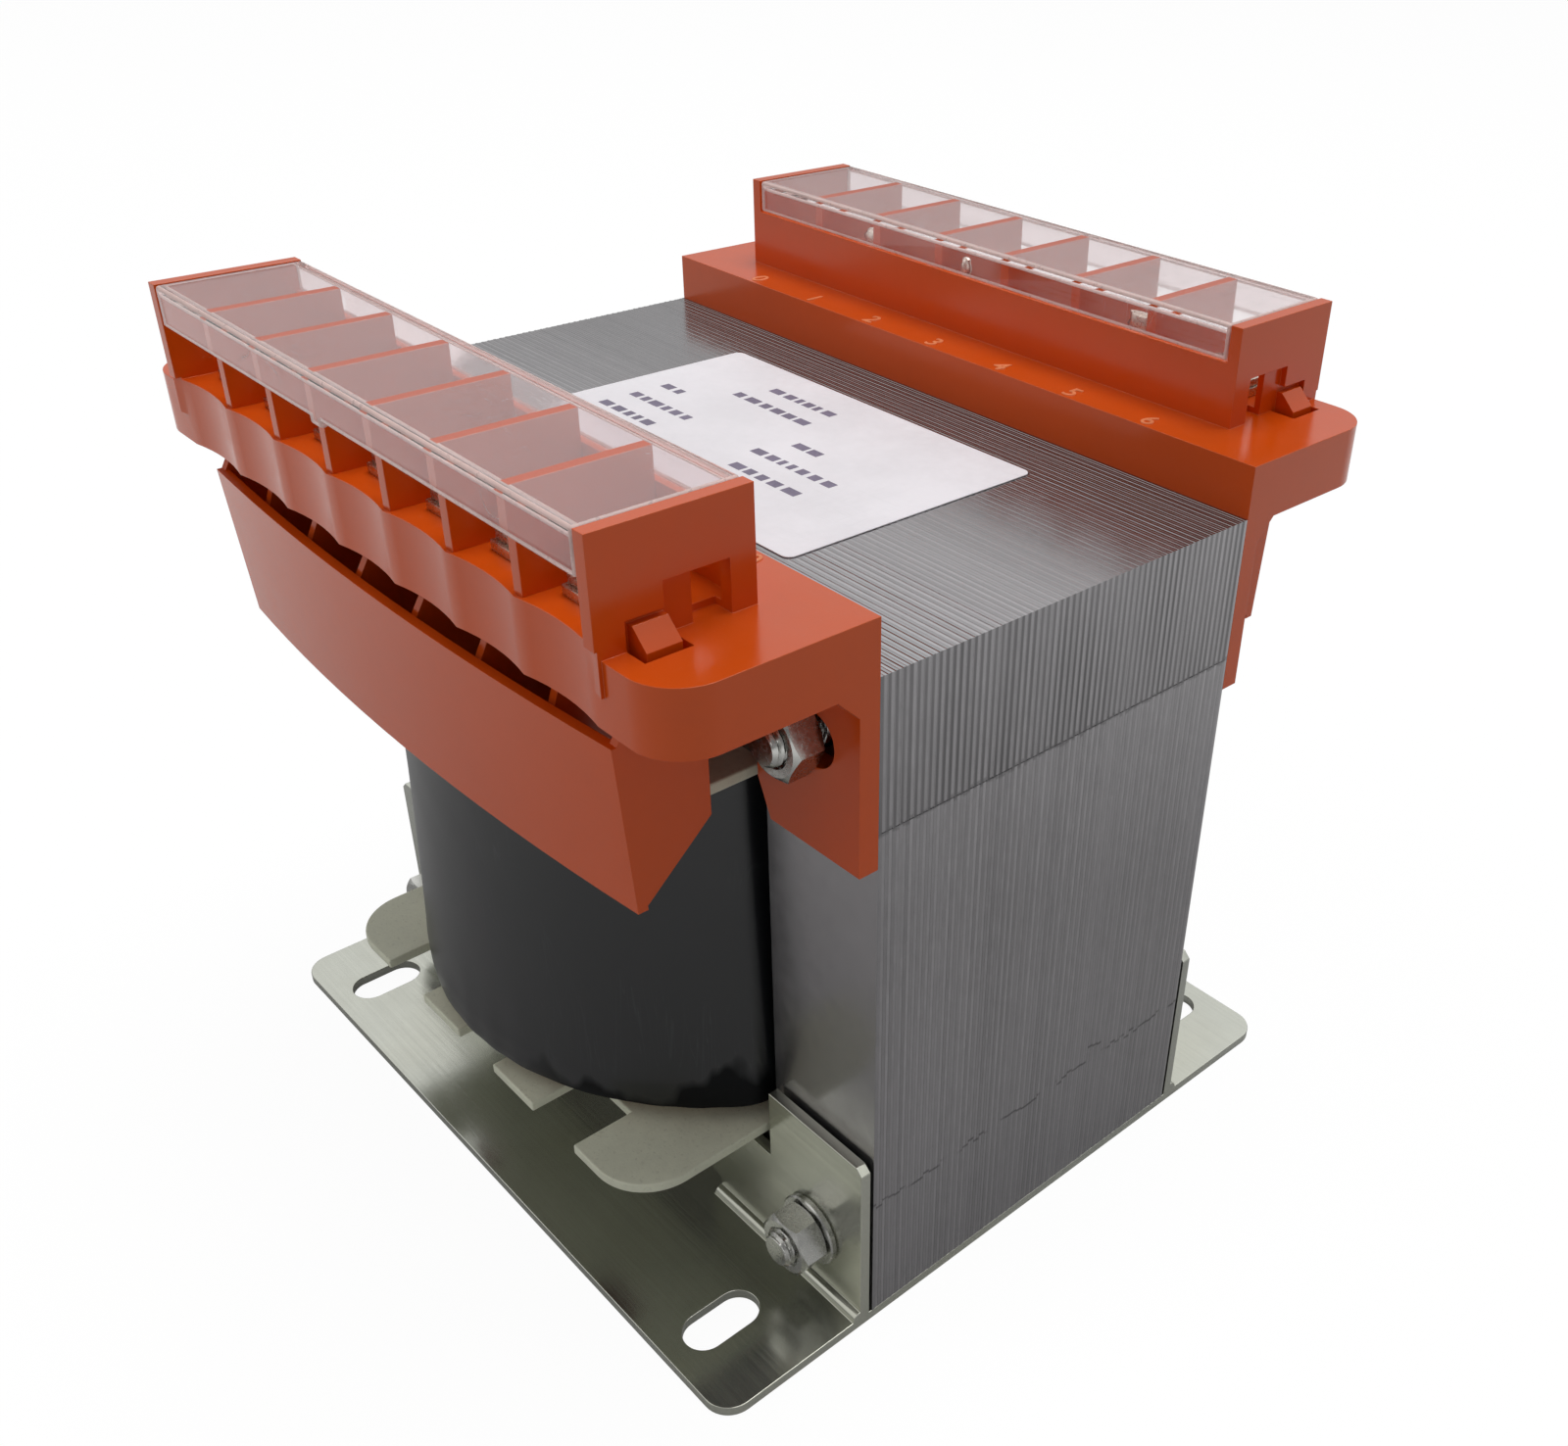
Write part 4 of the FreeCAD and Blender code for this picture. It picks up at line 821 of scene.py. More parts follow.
def lamination_stack(name, outline, holes, half_depth, seed, step):
    """Stack of sheets along Y: ring point i at a station is outline[i] - inset * (n[i - 1] + n[i]).

    The n are outward unit normals of the outline's edges. The end faces are cut out for the bolt holes, which
    run through as tubes.
    """
    stations, insets = sheet_stations(half_depth, seed, step)
    outline = np.array(outline, float)
    run = np.roll(outline, -1, axis=0) - outline
    run /= np.linalg.norm(run, axis=1)[:, None]
    normal = np.stack([run[:, 1], -run[:, 0]], axis=1)
    shift = normal + np.roll(normal, 1, axis=0)
    rings = outline[None] - insets[:, None, None] * shift[None]
    along = np.broadcast_to(stations[:, None], rings.shape[:2])
    gathered = [np.stack([rings[..., 0], along, rings[..., 1]], axis=-1).reshape(-1, 3)]
    faces = list(quad_grid(len(stations), len(outline), close_columns=True))
    start = len(gathered[0])
    loops = {-1: [list(range(len(outline)))], 1: [list(range(start - len(outline), start))]}
    turn = even_turn(32)
    for x, z in holes:
        for side in (-1, 1):
            gathered.append(row_about(BORE_RADIUS, side * half_depth, turn) + [x, 0.0, z])
            loops[side].append(list(range(start, start + len(turn))))
            start += len(turn)
        front, back = loops[-1][-1], loops[1][-1]
        faces += [(front[i], front[i - 1], back[i - 1], back[i]) for i in range(len(turn))]
    points = np.concatenate(gathered)
    for side in (-1, 1):
        flat = [index for loop in loops[side] for index in loop]
        flat_rings = [[Vector((points[i][0], points[i][2], 0)) for i in loop] for loop in loops[side]]
        faces += [tuple(flat[corner] for corner in corners) for corners in tessellate_polygon(flat_rings)]
    return mesh_from(name, points, faces, 25)


def coil_plan(count):
    """Plan of the coil, its outward normals and the way gone round it, at even steps.

    A quarter is a straight side, a small corner arc and a wide end arc that meet tangentially; the whole is
    its mirror images. The box of the wrap gives its half width and reach.
    """
    half, reach = limits("outer_wrap")[1][:2]
    back = reach - COIL_END_RADIUS
    run = half - COIL_CORNER_RADIUS
    rise = math.sqrt((COIL_END_RADIUS - COIL_CORNER_RADIUS) ** 2 - run ** 2)
    meeting = math.atan2(rise, run)
    side = np.stack([np.full(30, half), np.linspace(0, back + rise, 30, endpoint=False)], axis=1)
    small = np.linspace(0, meeting, 24, endpoint=False)
    corner = [run, back + rise] + COIL_CORNER_RADIUS * np.stack([np.cos(small), np.sin(small)], axis=1)
    wide = np.linspace(meeting, np.pi / 2, 80)
    end = [0.0, back] + COIL_END_RADIUS * np.stack([np.cos(wide), np.sin(wide)], axis=1)
    quarter = np.concatenate([side, corner, end])
    right = np.concatenate([quarter, (quarter * [-1, 1])[::-1][1:]])
    whole = np.concatenate([right, -right[1:]])
    gone = np.concatenate([[0], np.cumsum(np.linalg.norm(np.diff(whole, axis=0), axis=1))])
    even = np.linspace(0, gone[-1], count, endpoint=False)
    plan = np.stack([np.interp(even, gone, whole[:, axis]) for axis in (0, 1)], axis=1)
    slope = np.roll(plan, -1, axis=0) - np.roll(plan, 1, axis=0)
    slope /= np.linalg.norm(slope, axis=1)[:, None]
    return plan, np.stack([slope[:, 1], -slope[:, 0]], axis=1), even


def drawn_in(height):
    """Inset of the coil at each height: the taper times the share of the way up to the power 0.8.

    It starts 4 mm above the wrap's foot.
    """
    low, high = limits("outer_wrap")
    foot = low[2] + 4.0
    return sized("coil_taper") * np.clip((np.asarray(height) - foot) / (high[2] - foot), 0.0, 1.0) ** 0.8


def wire_rows(low, high):
    """Heights on the winding's skin, five a wire, and how far each lies behind the wires' crests.

    At a share of the wire's radius up or down, the dip is the radius times one less the square root of one
    less the share squared.
    """
    radius = sized("wire_diameter") / 2
    crests = low + radius + np.arange(int((high - low) / (2 * radius))) * 2 * radius
    share = np.array([-0.92, -0.5, 0.0, 0.5, 0.92])
    height = (crests[:, None] + share[None] * radius).reshape(-1)
    return height, np.tile(radius * (1 - np.sqrt(1 - share ** 2)), len(crests))


def wrap_inset(gone, height, low, high):
    """Inset of the film at each height and way gone round, without the taper.

    It is the wrinkle depth times two sine waves that bend each other, with ripples that die down away from
    both rims and a rounded rim, both by the exponential of the distance.
    """
    ripple_depth, rim_depth = 0.10, 0.12
    along, up = np.meshgrid(gone, height)
    slack = 0.5 + 0.5 * np.sin(along * 0.11 + 0.6 * np.sin(up * 0.13)) * np.sin(up * 0.09 + 1.1)
    fine = 0.5 + 0.5 * np.sin(along * 0.47 + up * 0.31 + 1.7 * np.sin(up * 0.21))
    ends = np.exp(-(up - low) / 5.0) + 0.6 * np.exp(-(high - up) / 4.0)
    ripple = 0.5 + 0.5 * np.sin(along * 0.83 + 2.0 * np.sin(along * 0.19))
    rim = np.exp(-np.minimum(up - low, high - up) / 0.25)
    wrinkle = sized("wrap_wrinkle") * (0.8 * slack + 0.15 * fine)
    return wrinkle + ripple_depth * ends * ripple + rim_depth * rim


def ring_wall(name, plan, normal, inset, height, crisp_from):
    """Closed band round the coil: point (row, column) is the plan at column moved in by the inset there."""
    inset = np.broadcast_to(inset, (len(height), len(plan)))
    flat = plan[None] - inset[..., None] * normal[None]
    up = np.broadcast_to(height[:, None, None], (*inset.shape, 1))
    points = np.concatenate([flat, up], axis=-1).reshape(-1, 3)
    return mesh_from(name, points, quad_grid(len(height), len(plan), True, True), crisp_from)


def hexagon_rows(turn, width, near, far):
    """Rows of a chamfered six-sided bar from near to far along Y: face circle, chamfer edge, and back again.

    The side lies half the width over the cosine of the angle off its middle from the centre, and the chamfer
    cuts back by the tangent of 30 degrees times how far the side stands past the face circle.
    """
    side = width / 2 / np.cos(np.mod(turn, np.pi / 3) - np.pi / 6)
    face = width * FACE_SHARE
    sense = math.copysign(1.0, far - near)
    cutback = sense * (np.maximum(side - face, 0.0) * math.tan(math.radians(30)) + 0.02)
    rows = [(face, near), (side, near + cutback), (side, far - cutback), (face, far)]
    return [row_about(radius, along, turn) for radius, along in rows]


def nut_grid(centre, near, far, width, around):
    """Chamfered nut about an axis along Y: its rows go over the outside and back through the bore."""
    turn = even_turn(around)
    flare = 0.35
    inward = math.copysign(flare, far - near)
    bore = ((flare, far), (0.0, far - inward), (0.0, near + inward), (flare, near))
    rows = hexagon_rows(turn, width, near, far)
    rows += [row_about(NUT_BORE_RADIUS + wider, along, turn) for wider, along in bore]
    return np.stack(rows) + [centre[0], 0.0, centre[1]], quad_grid(len(rows), around, True, True)


def bolt_grid(centre, tip, head_top, width, around):
    """Bolt along Y: threaded from the tip, plain to its six-sided head, which has a shallow dish.

    Thread radius is the bolt's less the depth times a triangle wave of (distance / pitch - angle / turn).
    """
    threads, steps_each, point_length = 9, 10, 0.5
    seat = head_top - HEAD_HEIGHT
    pitch, depth = sized("thread_pitch"), sized("thread_depth")
    turn = even_turn(around)
    distance = np.linspace(0.0, threads * pitch, threads * steps_each + 1)[:, None]
    phase = np.mod(distance / pitch - turn[None] / (2 * np.pi), 1.0)
    wave = np.clip(1.25 * np.abs(2 * phase - 1) - 0.05, 0.0, 1.0)
    point = BOLT_RADIUS - point_length * (1.0 - np.clip(distance / point_length, 0.0, 1.0))
    thread = np.minimum(BOLT_RADIUS - depth * wave, point)
    rows = [row_about(0.0, tip, turn)]
    rows += [row_about(ring, tip + step, turn) for step, ring in zip(distance[:, 0], thread)]
    plain = BOLT_RADIUS - depth * 0.3
    rows += [row_about(plain, along, turn) for along in (tip + threads * pitch + 0.4, seat - 0.4)]
    rows.append(row_about(BOLT_RADIUS, seat, turn))
    rows += hexagon_rows(turn, width, seat, head_top)
    rows.append(row_about(width * DISH_SHARE, head_top - 0.25, turn))
    rows.append(row_about(0.0, head_top - 0.3, turn))
    return np.stack(rows) + [centre[0], 0.0, centre[1]], quad_grid(len(rows), around, False, True)


def tube_grid(path, radius, around):
    """Round bar along a path of points, its ends closed by a small dome.

    Each ring is the path point plus the radius along two directions square to the path there.
    """
    slope = np.gradient(path, axis=0)
    slope /= np.linalg.norm(slope, axis=1)[:, None]
    first = np.cross(slope, [0.0, 1.0, 0.0])
    first /= np.linalg.norm(first, axis=1)[:, None]
    second = np.cross(slope, first)
    dome = np.array([0.0, 0.55, 0.85])
    sunk = radius * (1 - np.sqrt(1 - dome ** 2))[:, None]
    centres = np.concatenate([path[0] + slope[0] * sunk, path[1:-1], path[-1] - slope[-1] * sunk[::-1]])
    radii = np.concatenate([radius * dome, np.full(len(path) - 2, radius), radius * dome[::-1]])
    at = np.concatenate([[0] * len(dome), np.arange(1, len(path) - 1), [-1] * len(dome)])
    turn = even_turn(around)[None, :, None]
    spread = first[at][:, None] * np.cos(turn) + second[at][:, None] * np.sin(turn)
    return centres[:, None] + radii[:, None, None] * spread, quad_grid(len(centres), around, False, True)


def flat_plate(left, right, front, back, low, high):
    """Points and faces of a thin rectangular plate."""
    x = [left, right, right, left]
    y = [front, front, back, back]
    points = np.stack([np.tile(x, 2), np.tile(y, 2), np.repeat([low, high], 4)], axis=1)
    faces = np.array([(3, 2, 1, 0), (4, 5, 6, 7), (0, 1, 5, 4), (1, 2, 6, 5), (2, 3, 7, 6), (3, 0, 4, 7)])
    return points, faces


# Operators


class OBJECT_OT_transformer_base_plate(Operator):
    """Base plate as one rounded sheet with its four tabs and slots"""

    bl_idname = "object.transformer_base_plate"
    bl_label = "Base plate"

    def execute(self, context):
        rounded_piece("base_plate_sheet", ["base_plate"], "sheet_round", "Zinc sheet", "zinc_sheet")
        return {"FINISHED"}


class OBJECT_OT_transformer_core(Operator):
    """Lower and upper core stacks made of single laminations"""

    bl_idname = "object.transformer_core"
    bl_label = "Core stacks"

    def execute(self, context):
        low, high = limits("core_e_stack")
        half, depth = high[:2]
        unit = half / 3
        bottom, joint, top = low[2], high[2], limits("core_i_stack")[1][2]
        floor = bottom + unit
        edge = joint - 0.008
        lower = [
            (-half, bottom), (half, bottom), (half, edge), (2 * unit, edge), (2 * unit, floor), (unit, floor),
            (unit, edge), (-unit, edge), (-unit, floor), (-2 * unit, floor), (-2 * unit, edge), (-half, edge),
        ]
        upper = [(-half, joint), (half, joint), (half, top), (-half, top)]
        step = sized("sheet_step")
        for name, outline, level, seed, inset, node in (
            ("core_e_laminations", lower, "lower", 7, 0.3 * step, "core_e_stack"),
            ("core_i_laminations", upper, "upper", 11, step, "core_i_stack"),
        ):
            side, height, _ = bolt_places(level)
            made = lamination_stack(name, outline, [(-side, height), (side, height)], depth, seed, inset)
            dress(made, "Core steel", "lamination_steel", node)
        return {"FINISHED"}


class OBJECT_OT_transformer_former(Operator):
    """Coil former with softened edges"""

    bl_idname = "object.transformer_former"
    bl_label = "Coil former"

    def execute(self, context):
        rounded_piece(
            "coil_former_moulding", ["coil_former"], "former_round", "Pale former", "former_plastic")
        return {"FINISHED"}


class OBJECT_OT_transformer_windings(Operator):
    """Outer winding with its turns of wire, and the finishes of the inner rings"""

    bl_idname = "object.transformer_windings"
    bl_label = "Windings"

    def execute(self, context):
        low, high = limits("secondary_winding")
        plan, normal, _ = coil_plan(200)
        height, dips = wire_rows(low[2], high[2])
        under_wrap = limits("outer_wrap")[1][0] - high[0]
        rim, inner = under_wrap + 0.3, 7.0
        inset = np.concatenate([
            under_wrap + drawn_in(height) + dips, [rim + drawn_in(high[2]), inner, inner, rim]])
        height = np.concatenate([height, [high[2], high[2], low[2], low[2]]])
        made = ring_wall("winding_wires", plan, normal, inset[:, None], height, 50)
        dress(made, "Copper wire", "copper_wire", "secondary_winding")
        dress_node("primary_winding", "Copper wire")
        dress_node("winding_insulation", "Layer film")
        return {"FINISHED"}


class OBJECT_OT_transformer_wrap(Operator):
    """Outer film with its slack and its ripples towards both rims"""

    bl_idname = "object.transformer_wrap"
    bl_label = "Outer wrap"

    def execute(self, context):
        low, high = limits("outer_wrap")
        plan, normal, even = coil_plan(420)
        height = np.linspace(low[2], high[2], 70)
        inset = wrap_inset(even, height, low[2], high[2]) + drawn_in(height)[:, None]
        back = np.array([high[2], low[2]])
        inner = np.broadcast_to(WRAP_THICKNESS + drawn_in(back)[:, None], (2, len(plan)))
        inset, height = np.concatenate([inset, inner]), np.concatenate([height, back])
        made = ring_wall("outer_wrap_film", plan, normal, inset, height, 40)
        dress(made, "Wrap film", "wrap_film", "outer_wrap")
        return {"FINISHED"}


class OBJECT_OT_transformer_blocks(Operator):
    """Terminal block mouldings: block, way dividers and wire duct of each side as one piece"""

    bl_idname = "object.transformer_blocks"
    bl_label = "Terminal blocks"

    def execute(self, context):
        for place in ("front", "rear"):
            parts = [place + "_terminal_block", place + "_way_dividers", place + "_wire_duct"]
            name = place + "_block_moulding"
            rounded_piece(name, parts, "moulding_round", "Orange moulding", "block_plastic")
        return {"FINISHED"}


class OBJECT_OT_transformer_covers(Operator):
    """Clear covers of the terminal ways"""

    bl_idname = "object.transformer_covers"
    bl_label = "Clear covers"

    def execute(self, context):
        for place in ("front", "rear"):
            name, nodes = place + "_cover_lid", [place + "_clear_cover"]
            made = rounded_piece(name, nodes, "cover_round", "Clear cover", "cover_plastic")
            # A clear lid lets the lamps' light through to the ways beneath it
            made.visible_shadow = False
            made.visible_diffuse = False
            # The rounded rims take the rim finish, whose pale colour is a painted highlight
            made.data.materials.append(finish_named("Cover rim"))
            made.modifiers["Rounded edges"].material = 1
        return {"FINISHED"}


class OBJECT_OT_transformer_terminals(Operator):
    """Terminal strips, screws and clamp washers in the ways"""

    bl_idname = "object.transformer_terminals"
    bl_label = "Terminals"

    def execute(self, context):
        for node, rounding in (
            ("front_terminal_plates", "strip_round"),
            ("rear_terminal_plates", "strip_round"),
            ("terminal_screws", "terminal_round"),
            ("clamp_washers", "terminal_round"),
        ):
            rounded_piece(node + "_plated", [node], rounding, "Terminal plating", "terminal_metal")
        return {"FINISHED"}


class OBJECT_OT_transformer_fasteners(Operator):
    """Through bolts with threads, chamfered nuts and flat washers"""

    bl_idname = "object.transformer_fasteners"
    bl_label = "Bolts, nuts and washers"

    def execute(self, context):
        around = context.scene.transformer_sizes.around
        for level in ("upper", "lower"):
            nut_low, nut_high = limits(level + "_nuts")
            bolt_low, bolt_high = limits(level + "_bolts")
            side, height, width = bolt_places(level)
            centres = [(-side, height), (side, height)]
            nuts = [nut_grid(centre, nut_low[1], nut_high[1], width, around) for centre in centres]
            bolts = [bolt_grid(centre, bolt_low[1], bolt_high[1], width, around) for centre in centres]
            self.place(level + "_nuts_chamfered", nuts, level + "_nuts")
            self.place(level + "_bolts_threaded", bolts, level + "_bolts")
        low, high = limits("lower_washers")
        radius = (high[2] - low[2]) / 2
        centre = np.array([high[0] - radius, 0.0, (high[2] + low[2]) / 2])
        far = high[1]
        near = far - WASHER_THICKNESS
        profile = [
            (BORE_RADIUS, near + 0.1), (BORE_RADIUS + 0.1, near), (radius - 0.2, near), (radius, near + 0.2),
            (radius, far - 0.2), (radius - 0.2, far), (BORE_RADIUS + 0.1, far), (BORE_RADIUS, far - 0.1),
        ]
        ring = np.stack([row_about(reach, along, even_turn(around)) for reach, along in profile])
        faces = quad_grid(len(profile), around, True, True)
        rings = []
        for hand in (-1, 1):
            rings += [(ring * [1, sense, 1] + centre * [hand, 0, 1], faces) for sense in (-1, 1)]
        self.place("lower_washers_turned", rings, "lower_washers")
        return {"FINISHED"}

    def place(self, name, grids, node):
        """One plated piece of several grids, in place of a node."""
        dress(mesh_from(name, *joined(grids), 28), "Fastener plating", "fastener_metal", node)


class OBJECT_OT_transformer_leads(Operator):
    """Sleeved winding leads and the tinned ends in the rear ways"""

    bl_idname = "object.transformer_leads"
    bl_label = "Leads"

    def execute(self, context):
        around = context.scene.transformer_sizes.around // 2
        for place in ("front", "rear"):
            high, radius, along, step, height = self.measure(place + "_leads", 14)
            outer = high[0] - radius
            inner = WAY_PITCH + TAIL_HALF_WIDTH + radius + TAIL_CLEARANCE
            tubes = []
            for number, x in enumerate((-outer, -inner, inner, outer)):
                sway = 0.12 * np.sin(step * np.pi * 2 + number) * step * (1 - step) * 4
                path = np.stack([x + sway, along, height], axis=1)
                tubes.append(tube_grid(path, radius, around))
            made = mesh_from(place + "_leads_sleeved", *joined(tubes), 40)
            dress(made, "Lead sleeve", "lead_sleeve", place + "_leads")
        high, radius, along, step, height = self.measure("rear_lead_ends", 16)
        left = limits("rear_lead_ends")[0][0] + radius
        # Place across, and how much wider its top and how much thinner the whole is, of each end
        bars = ((left, 2.2, 1.0), (MIDDLE_END_PLACE, 1.3, 1.0), (high[0] - radius, 3.4, 0.98))
        tubes = []
        for number, (x, widened, thinned) in enumerate(bars):
            bend = 0.25 * np.sin(step * 5 + number) * step * (1 - step)
            path = np.stack([x + bend, along, height], axis=1)
            bar, quads = tube_grid(path, radius * thinned, around)
            # Solder lumps: near the top the width grows by a ramp times two sine waves of the height
            rise = np.clip((bar[..., 2] - high[2] + 4.2) / 1.2, 0.0, 1.0)
            lump = 1 + 0.25 * np.sin(bar[..., 2] * 3.1 + number) + 0.15 * np.sin(bar[..., 2] * 7.3)
            bar[..., 0] = x + (bar[..., 0] - x) * (1 + rise * (widened * lump - 1))
            tubes.append((bar, quads))
        made = mesh_from("rear_lead_ends_tinned", *joined(tubes), 40)
        dress(made, "Terminal plating", "terminal_metal", "rear_lead_ends")
        return {"FINISHED"}

    def measure(self, node, count):
        """Highest corner, radius, place along Y, even shares and heights of a row of upright rods."""
        low, high = limits(node)
        step = np.linspace(0, 1, count)
        along = np.full(count, (high[1] + low[1]) / 2)
        return high, (high[1] - low[1]) / 2, along, step, low[2] + step * (high[2] - low[2])


class OBJECT_OT_transformer_label(Operator):
    """Label on the top yoke with plain bars"""

    bl_idname = "object.transformer_label"
    bl_label = "Label"

    def execute(self, context):
        rounded_piece(
            "rating_label_paper", ["rating_label"], "label_round", "Label paper", "label_paper", segments=1)
        low, high = limits("rating_label")
        centre = (low + high) / 2
        top = high[2] - 0.005
        random = np.random.default_rng(5)
        plates = []
        # Start across, row and length of each line of bars, from the label's middle
        for across, row, reach in (
            (-14, 13.2, 12), (-16, 8.4, 16), (-25, 2.6, 4), (4, 2.6, 4), (-25, -2.6, 13),
            (2, -2.6, 15), (-25, -7.6, 12), (4, -7.6, 11), (-12, -13.6, 24),
        ):
            left = centre[0] + across
            front = centre[1] + row - 0.75
            while left < centre[0] + across + reach:
                width = random.uniform(0.9, 2.6)
                plates.append(flat_plate(left, left + width, front, front + 1.5, top, top + 0.02))
                left += width + random.uniform(0.5, 0.9)
        dress(mesh_from("label_bars", *joined(plates)), "Label ink", "label_paper")
        return {"FINISHED"}


class OBJECT_OT_transformer_numerals(Operator):
    """Way numbers nought to six on the rear flange, and the same turned half round on the front one"""

    bl_idname = "object.transformer_numerals"
    bl_label = "Way numbers"

    def execute(self, context):
        for place, turn in (("front", math.pi), ("rear", 0.0)):
            working = bmesh.new()
            for number in range(7):
                mesh = self.numeral(context, number)
                spot = Vector(((number - 3) * WAY_PITCH, sized("numeral_row"), FLANGE_TOP)) * MILLIMETRE
                mesh.transform(Matrix.Rotation(turn, 4, "Z") @ Matrix.Translation(spot))
                working.from_mesh(mesh)
            seal(working)
            whole = bpy.data.meshes.new(place + "_numerals")
            working.to_mesh(whole)
            working.free()
            dress(linked(place + "_numerals", whole), "Numeral ink", "block_plastic")
        return {"FINISHED"}

    def numeral(self, context, number):
        """Mesh of one raised numeral, centred on the origin."""
        curve = bpy.data.curves.new("numeral", "FONT")
        curve.body = str(number)
        curve.size = size_setting("numeral_height") / 0.7
        curve.align_x = "CENTER"
        curve.align_y = "CENTER"
        curve.extrude = size_setting("numeral_relief")
        curve.resolution_u = 3
        text = linked("numeral", curve)
        context.view_layer.update()
        mesh = bpy.data.meshes.new_from_object(text)
        bpy.data.objects.remove(text)
        return mesh


def pale_floor(stage):
    """Floor near white to the camera but for the shadow, and dim in mirrors close to the part."""
    finish = Finish("Pale floor", stage.floor)
    plain, _ = finish.mottled(3.0, 0.985, 1.0)
    rays = finish.add("ShaderNodeLightPath").outputs
    seen = finish.math("MAXIMUM", rays["Is Camera Ray"], rays["Is Transmission Ray"])
    finish.feed("Base Color", finish.blend(seen, plain, (0.97, 0.97, 0.97)))
    finish.feed("Roughness", 0.9)
    away = finish.add("ShaderNodeVectorMath", {0: finish.place}, operation="LENGTH").outputs["Value"]
    mirrored = finish.times(rays["Is Glossy Ray"], finish.spread(away, 0.12, 0.3, 0.05, 0.85))
    share = finish.math("MAXIMUM", finish.times(seen, 0.93), mirrored)
    glow = finish.add("ShaderNodeEmission", {"Color": (1.0, 1.0, 1.0), "Strength": 1.02}).outputs[0]
    mix = finish.add("ShaderNodeMixShader", {0: share, 1: finish.shader.outputs[0], 2: glow})
    finish.put(mix.outputs[0], finish.tree.nodes["Material Output"].inputs["Surface"])
    return finish.material


def even_surround(stage):
    """World: white to the camera, faint to the part, in mirrors bright above and dim at the front."""
    world = bpy.data.worlds.new("Even surround")
    world.use_nodes = True
    graph = Graph(world.node_tree)
    shell = world.node_tree.nodes["Background"]
    rays = graph.add("ShaderNodeLightPath").outputs
    seen = graph.math("MAXIMUM", rays["Is Camera Ray"], rays["Is Transmission Ray"])
    strength = graph.spread(seen, 0.0, 1.0, stage.surround, 1.0)
    toward = graph.parts(graph.add("ShaderNodeTexCoord").outputs["Generated"])
    height = graph.spread(toward["Z"], 0.2, 0.45, 0.4, 1.25)
    mirrored = graph.times(height, graph.spread(toward["Y"], -0.5, 0.2, 0.35, 1.0))
    mirrored = graph.times(mirrored, rays["Is Glossy Ray"])
    graph.put(graph.math("MAXIMUM", strength, mirrored), shell.inputs["Strength"])
    graph.put((1.0, 1.0, 1.0), shell.inputs["Color"])
    return world


def lamp(name, place, watts, width, colour):
    """Large soft area lamp that looks at the part's middle."""
    data = bpy.data.lights.new(name, "AREA")
    data.shape = "SQUARE"
    data.size = width
    data.energy = watts
    data.color = colour
    made = linked(name, data)
    made.location = place
    made.rotation_euler = (Vector((0, 0, 0.05)) - Vector(place)).to_track_quat("-Z", "Y").to_euler()


def photo_camera(stage):
    """Camera with its back along the direction of azimuth and elevation, rolled about it."""
    level = math.cos(stage.camera_elevation)
    back = Vector((
        math.sin(stage.camera_azimuth) * level,
        -math.cos(stage.camera_azimuth) * level,
        math.sin(stage.camera_elevation),
    ))
    right = Vector((0, 0, 1)).cross(back).normalized()
    up = back.cross(right)
    cosine, sine = math.cos(stage.camera_roll), math.sin(stage.camera_roll)
    turn = Matrix((cosine * right + sine * up, cosine * up - sine * right, back)).transposed().to_4x4()
    data = bpy.data.cameras.new("Photo camera")
    data.sensor_width = 36.0
    data.lens = stage.focal_length
    data.shift_x = stage.shift_across
    data.shift_y = stage.shift_up
    data.clip_start = 0.005
    data.dof.use_dof = False
    camera = linked("Photo camera", data)
    camera.matrix_world = Matrix.Translation(Vector(stage.camera_place)) @ turn
    return camera


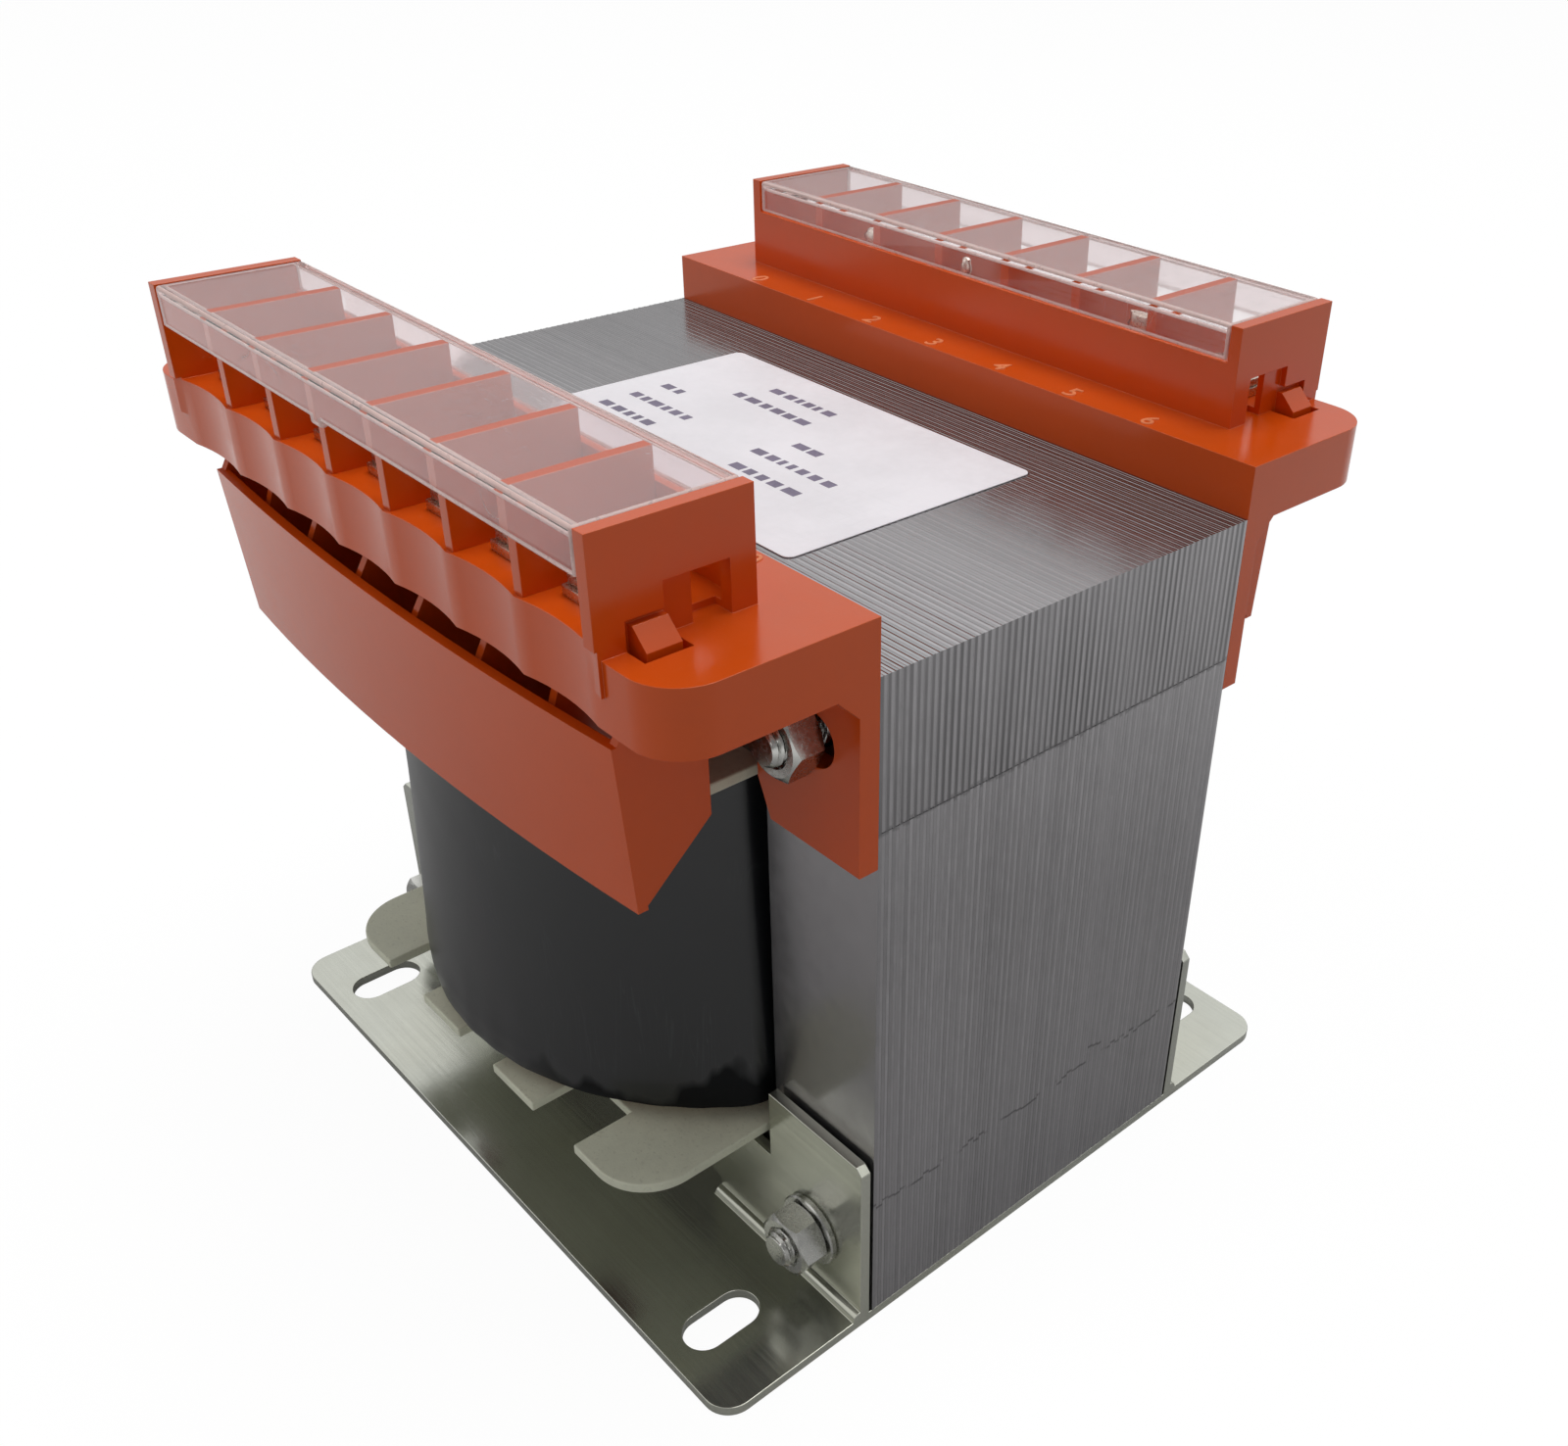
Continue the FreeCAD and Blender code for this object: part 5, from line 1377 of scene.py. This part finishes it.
class OBJECT_OT_transformer_stage(Operator):
    """Floor, even surround, soft lamps and the camera"""

    bl_idname = "object.transformer_stage"
    bl_label = "Stage"

    def execute(self, context):
        scene = context.scene
        stage = scene.transformer_stage
        reach = np.linspace(-3000, 3000, 13)
        across, along = np.meshgrid(reach, reach, indexing="ij")
        points = np.stack([across, along, 0 * across - 0.02], axis=-1).reshape(-1, 3)
        mesh = bpy.data.meshes.new("stage_floor")
        mesh.from_pydata(points * MILLIMETRE, [], [tuple(int(v) for v in face) for face in quad_grid(13, 13)])
        mesh.update()
        if mesh.polygons[0].normal.z < 0:
            mesh.flip_normals()
        mesh.materials.append(pale_floor(stage))
        linked("stage_floor", mesh)
        lamp("Key lamp", (-0.75, -1.05, 0.95), stage.key, 1.7, (1.0, 0.99, 0.97))
        lamp("Top lamp", (0.1, 0.35, 1.5), stage.top, 0.9, (1.0, 1.0, 1.0))
        lamp("Fill lamp", (1.25, -0.35, 0.7), stage.fill, 0.9, (0.97, 0.98, 1.0))
        scene.world = even_surround(stage)
        scene.camera = photo_camera(stage)
        scene.view_settings.view_transform = "Standard"
        return {"FINISHED"}


OPERATORS = (
    OBJECT_OT_transformer_base_plate,
    OBJECT_OT_transformer_core,
    OBJECT_OT_transformer_former,
    OBJECT_OT_transformer_windings,
    OBJECT_OT_transformer_wrap,
    OBJECT_OT_transformer_blocks,
    OBJECT_OT_transformer_covers,
    OBJECT_OT_transformer_terminals,
    OBJECT_OT_transformer_fasteners,
    OBJECT_OT_transformer_leads,
    OBJECT_OT_transformer_label,
    OBJECT_OT_transformer_numerals,
    OBJECT_OT_transformer_stage,
)


class VIEW3D_PT_transformer(Panel):
    """Sidebar panel with the pieces, their sizes and their finishes"""

    bl_idname = "VIEW3D_PT_transformer"
    bl_label = "Chassis transformer"
    bl_space_type = "VIEW_3D"
    bl_region_type = "UI"
    bl_category = "Transformer"

    def draw(self, context):
        layout = self.layout
        for operator in OPERATORS:
            layout.operator(operator.bl_idname)
        for settings in SETTINGS:
            group = getattr(context.scene, settings)
            column = layout.column()
            for word in group.bl_rna.properties.keys():
                if word not in ("rna_type", "name"):
                    column.prop(group, word)


SETTINGS = {
    "transformer_sizes": TransformerSizes,
    "transformer_finish": TransformerFinish,
    "transformer_stage": TransformerStage,
}
CLASSES = (*SETTINGS.values(), *OPERATORS, VIEW3D_PT_transformer)


def register():
    """Registers the classes and gives the scene its settings."""
    for one in CLASSES:
        bpy.utils.register_class(one)
    for word, kind in SETTINGS.items():
        setattr(bpy.types.Scene, word, PointerProperty(type=kind))


def unregister():
    """Takes the settings and the classes away again."""
    for word in SETTINGS:
        delattr(bpy.types.Scene, word)
    for one in reversed(CLASSES):
        bpy.utils.unregister_class(one)


def main():
    """Makes every piece and the stage."""
    register()
    for operator in OPERATORS:
        group, word = operator.bl_idname.split(".")
        getattr(getattr(bpy.ops, group), word)()
    bpy.context.view_layer.update()


if __name__ == "__main__":
    main()
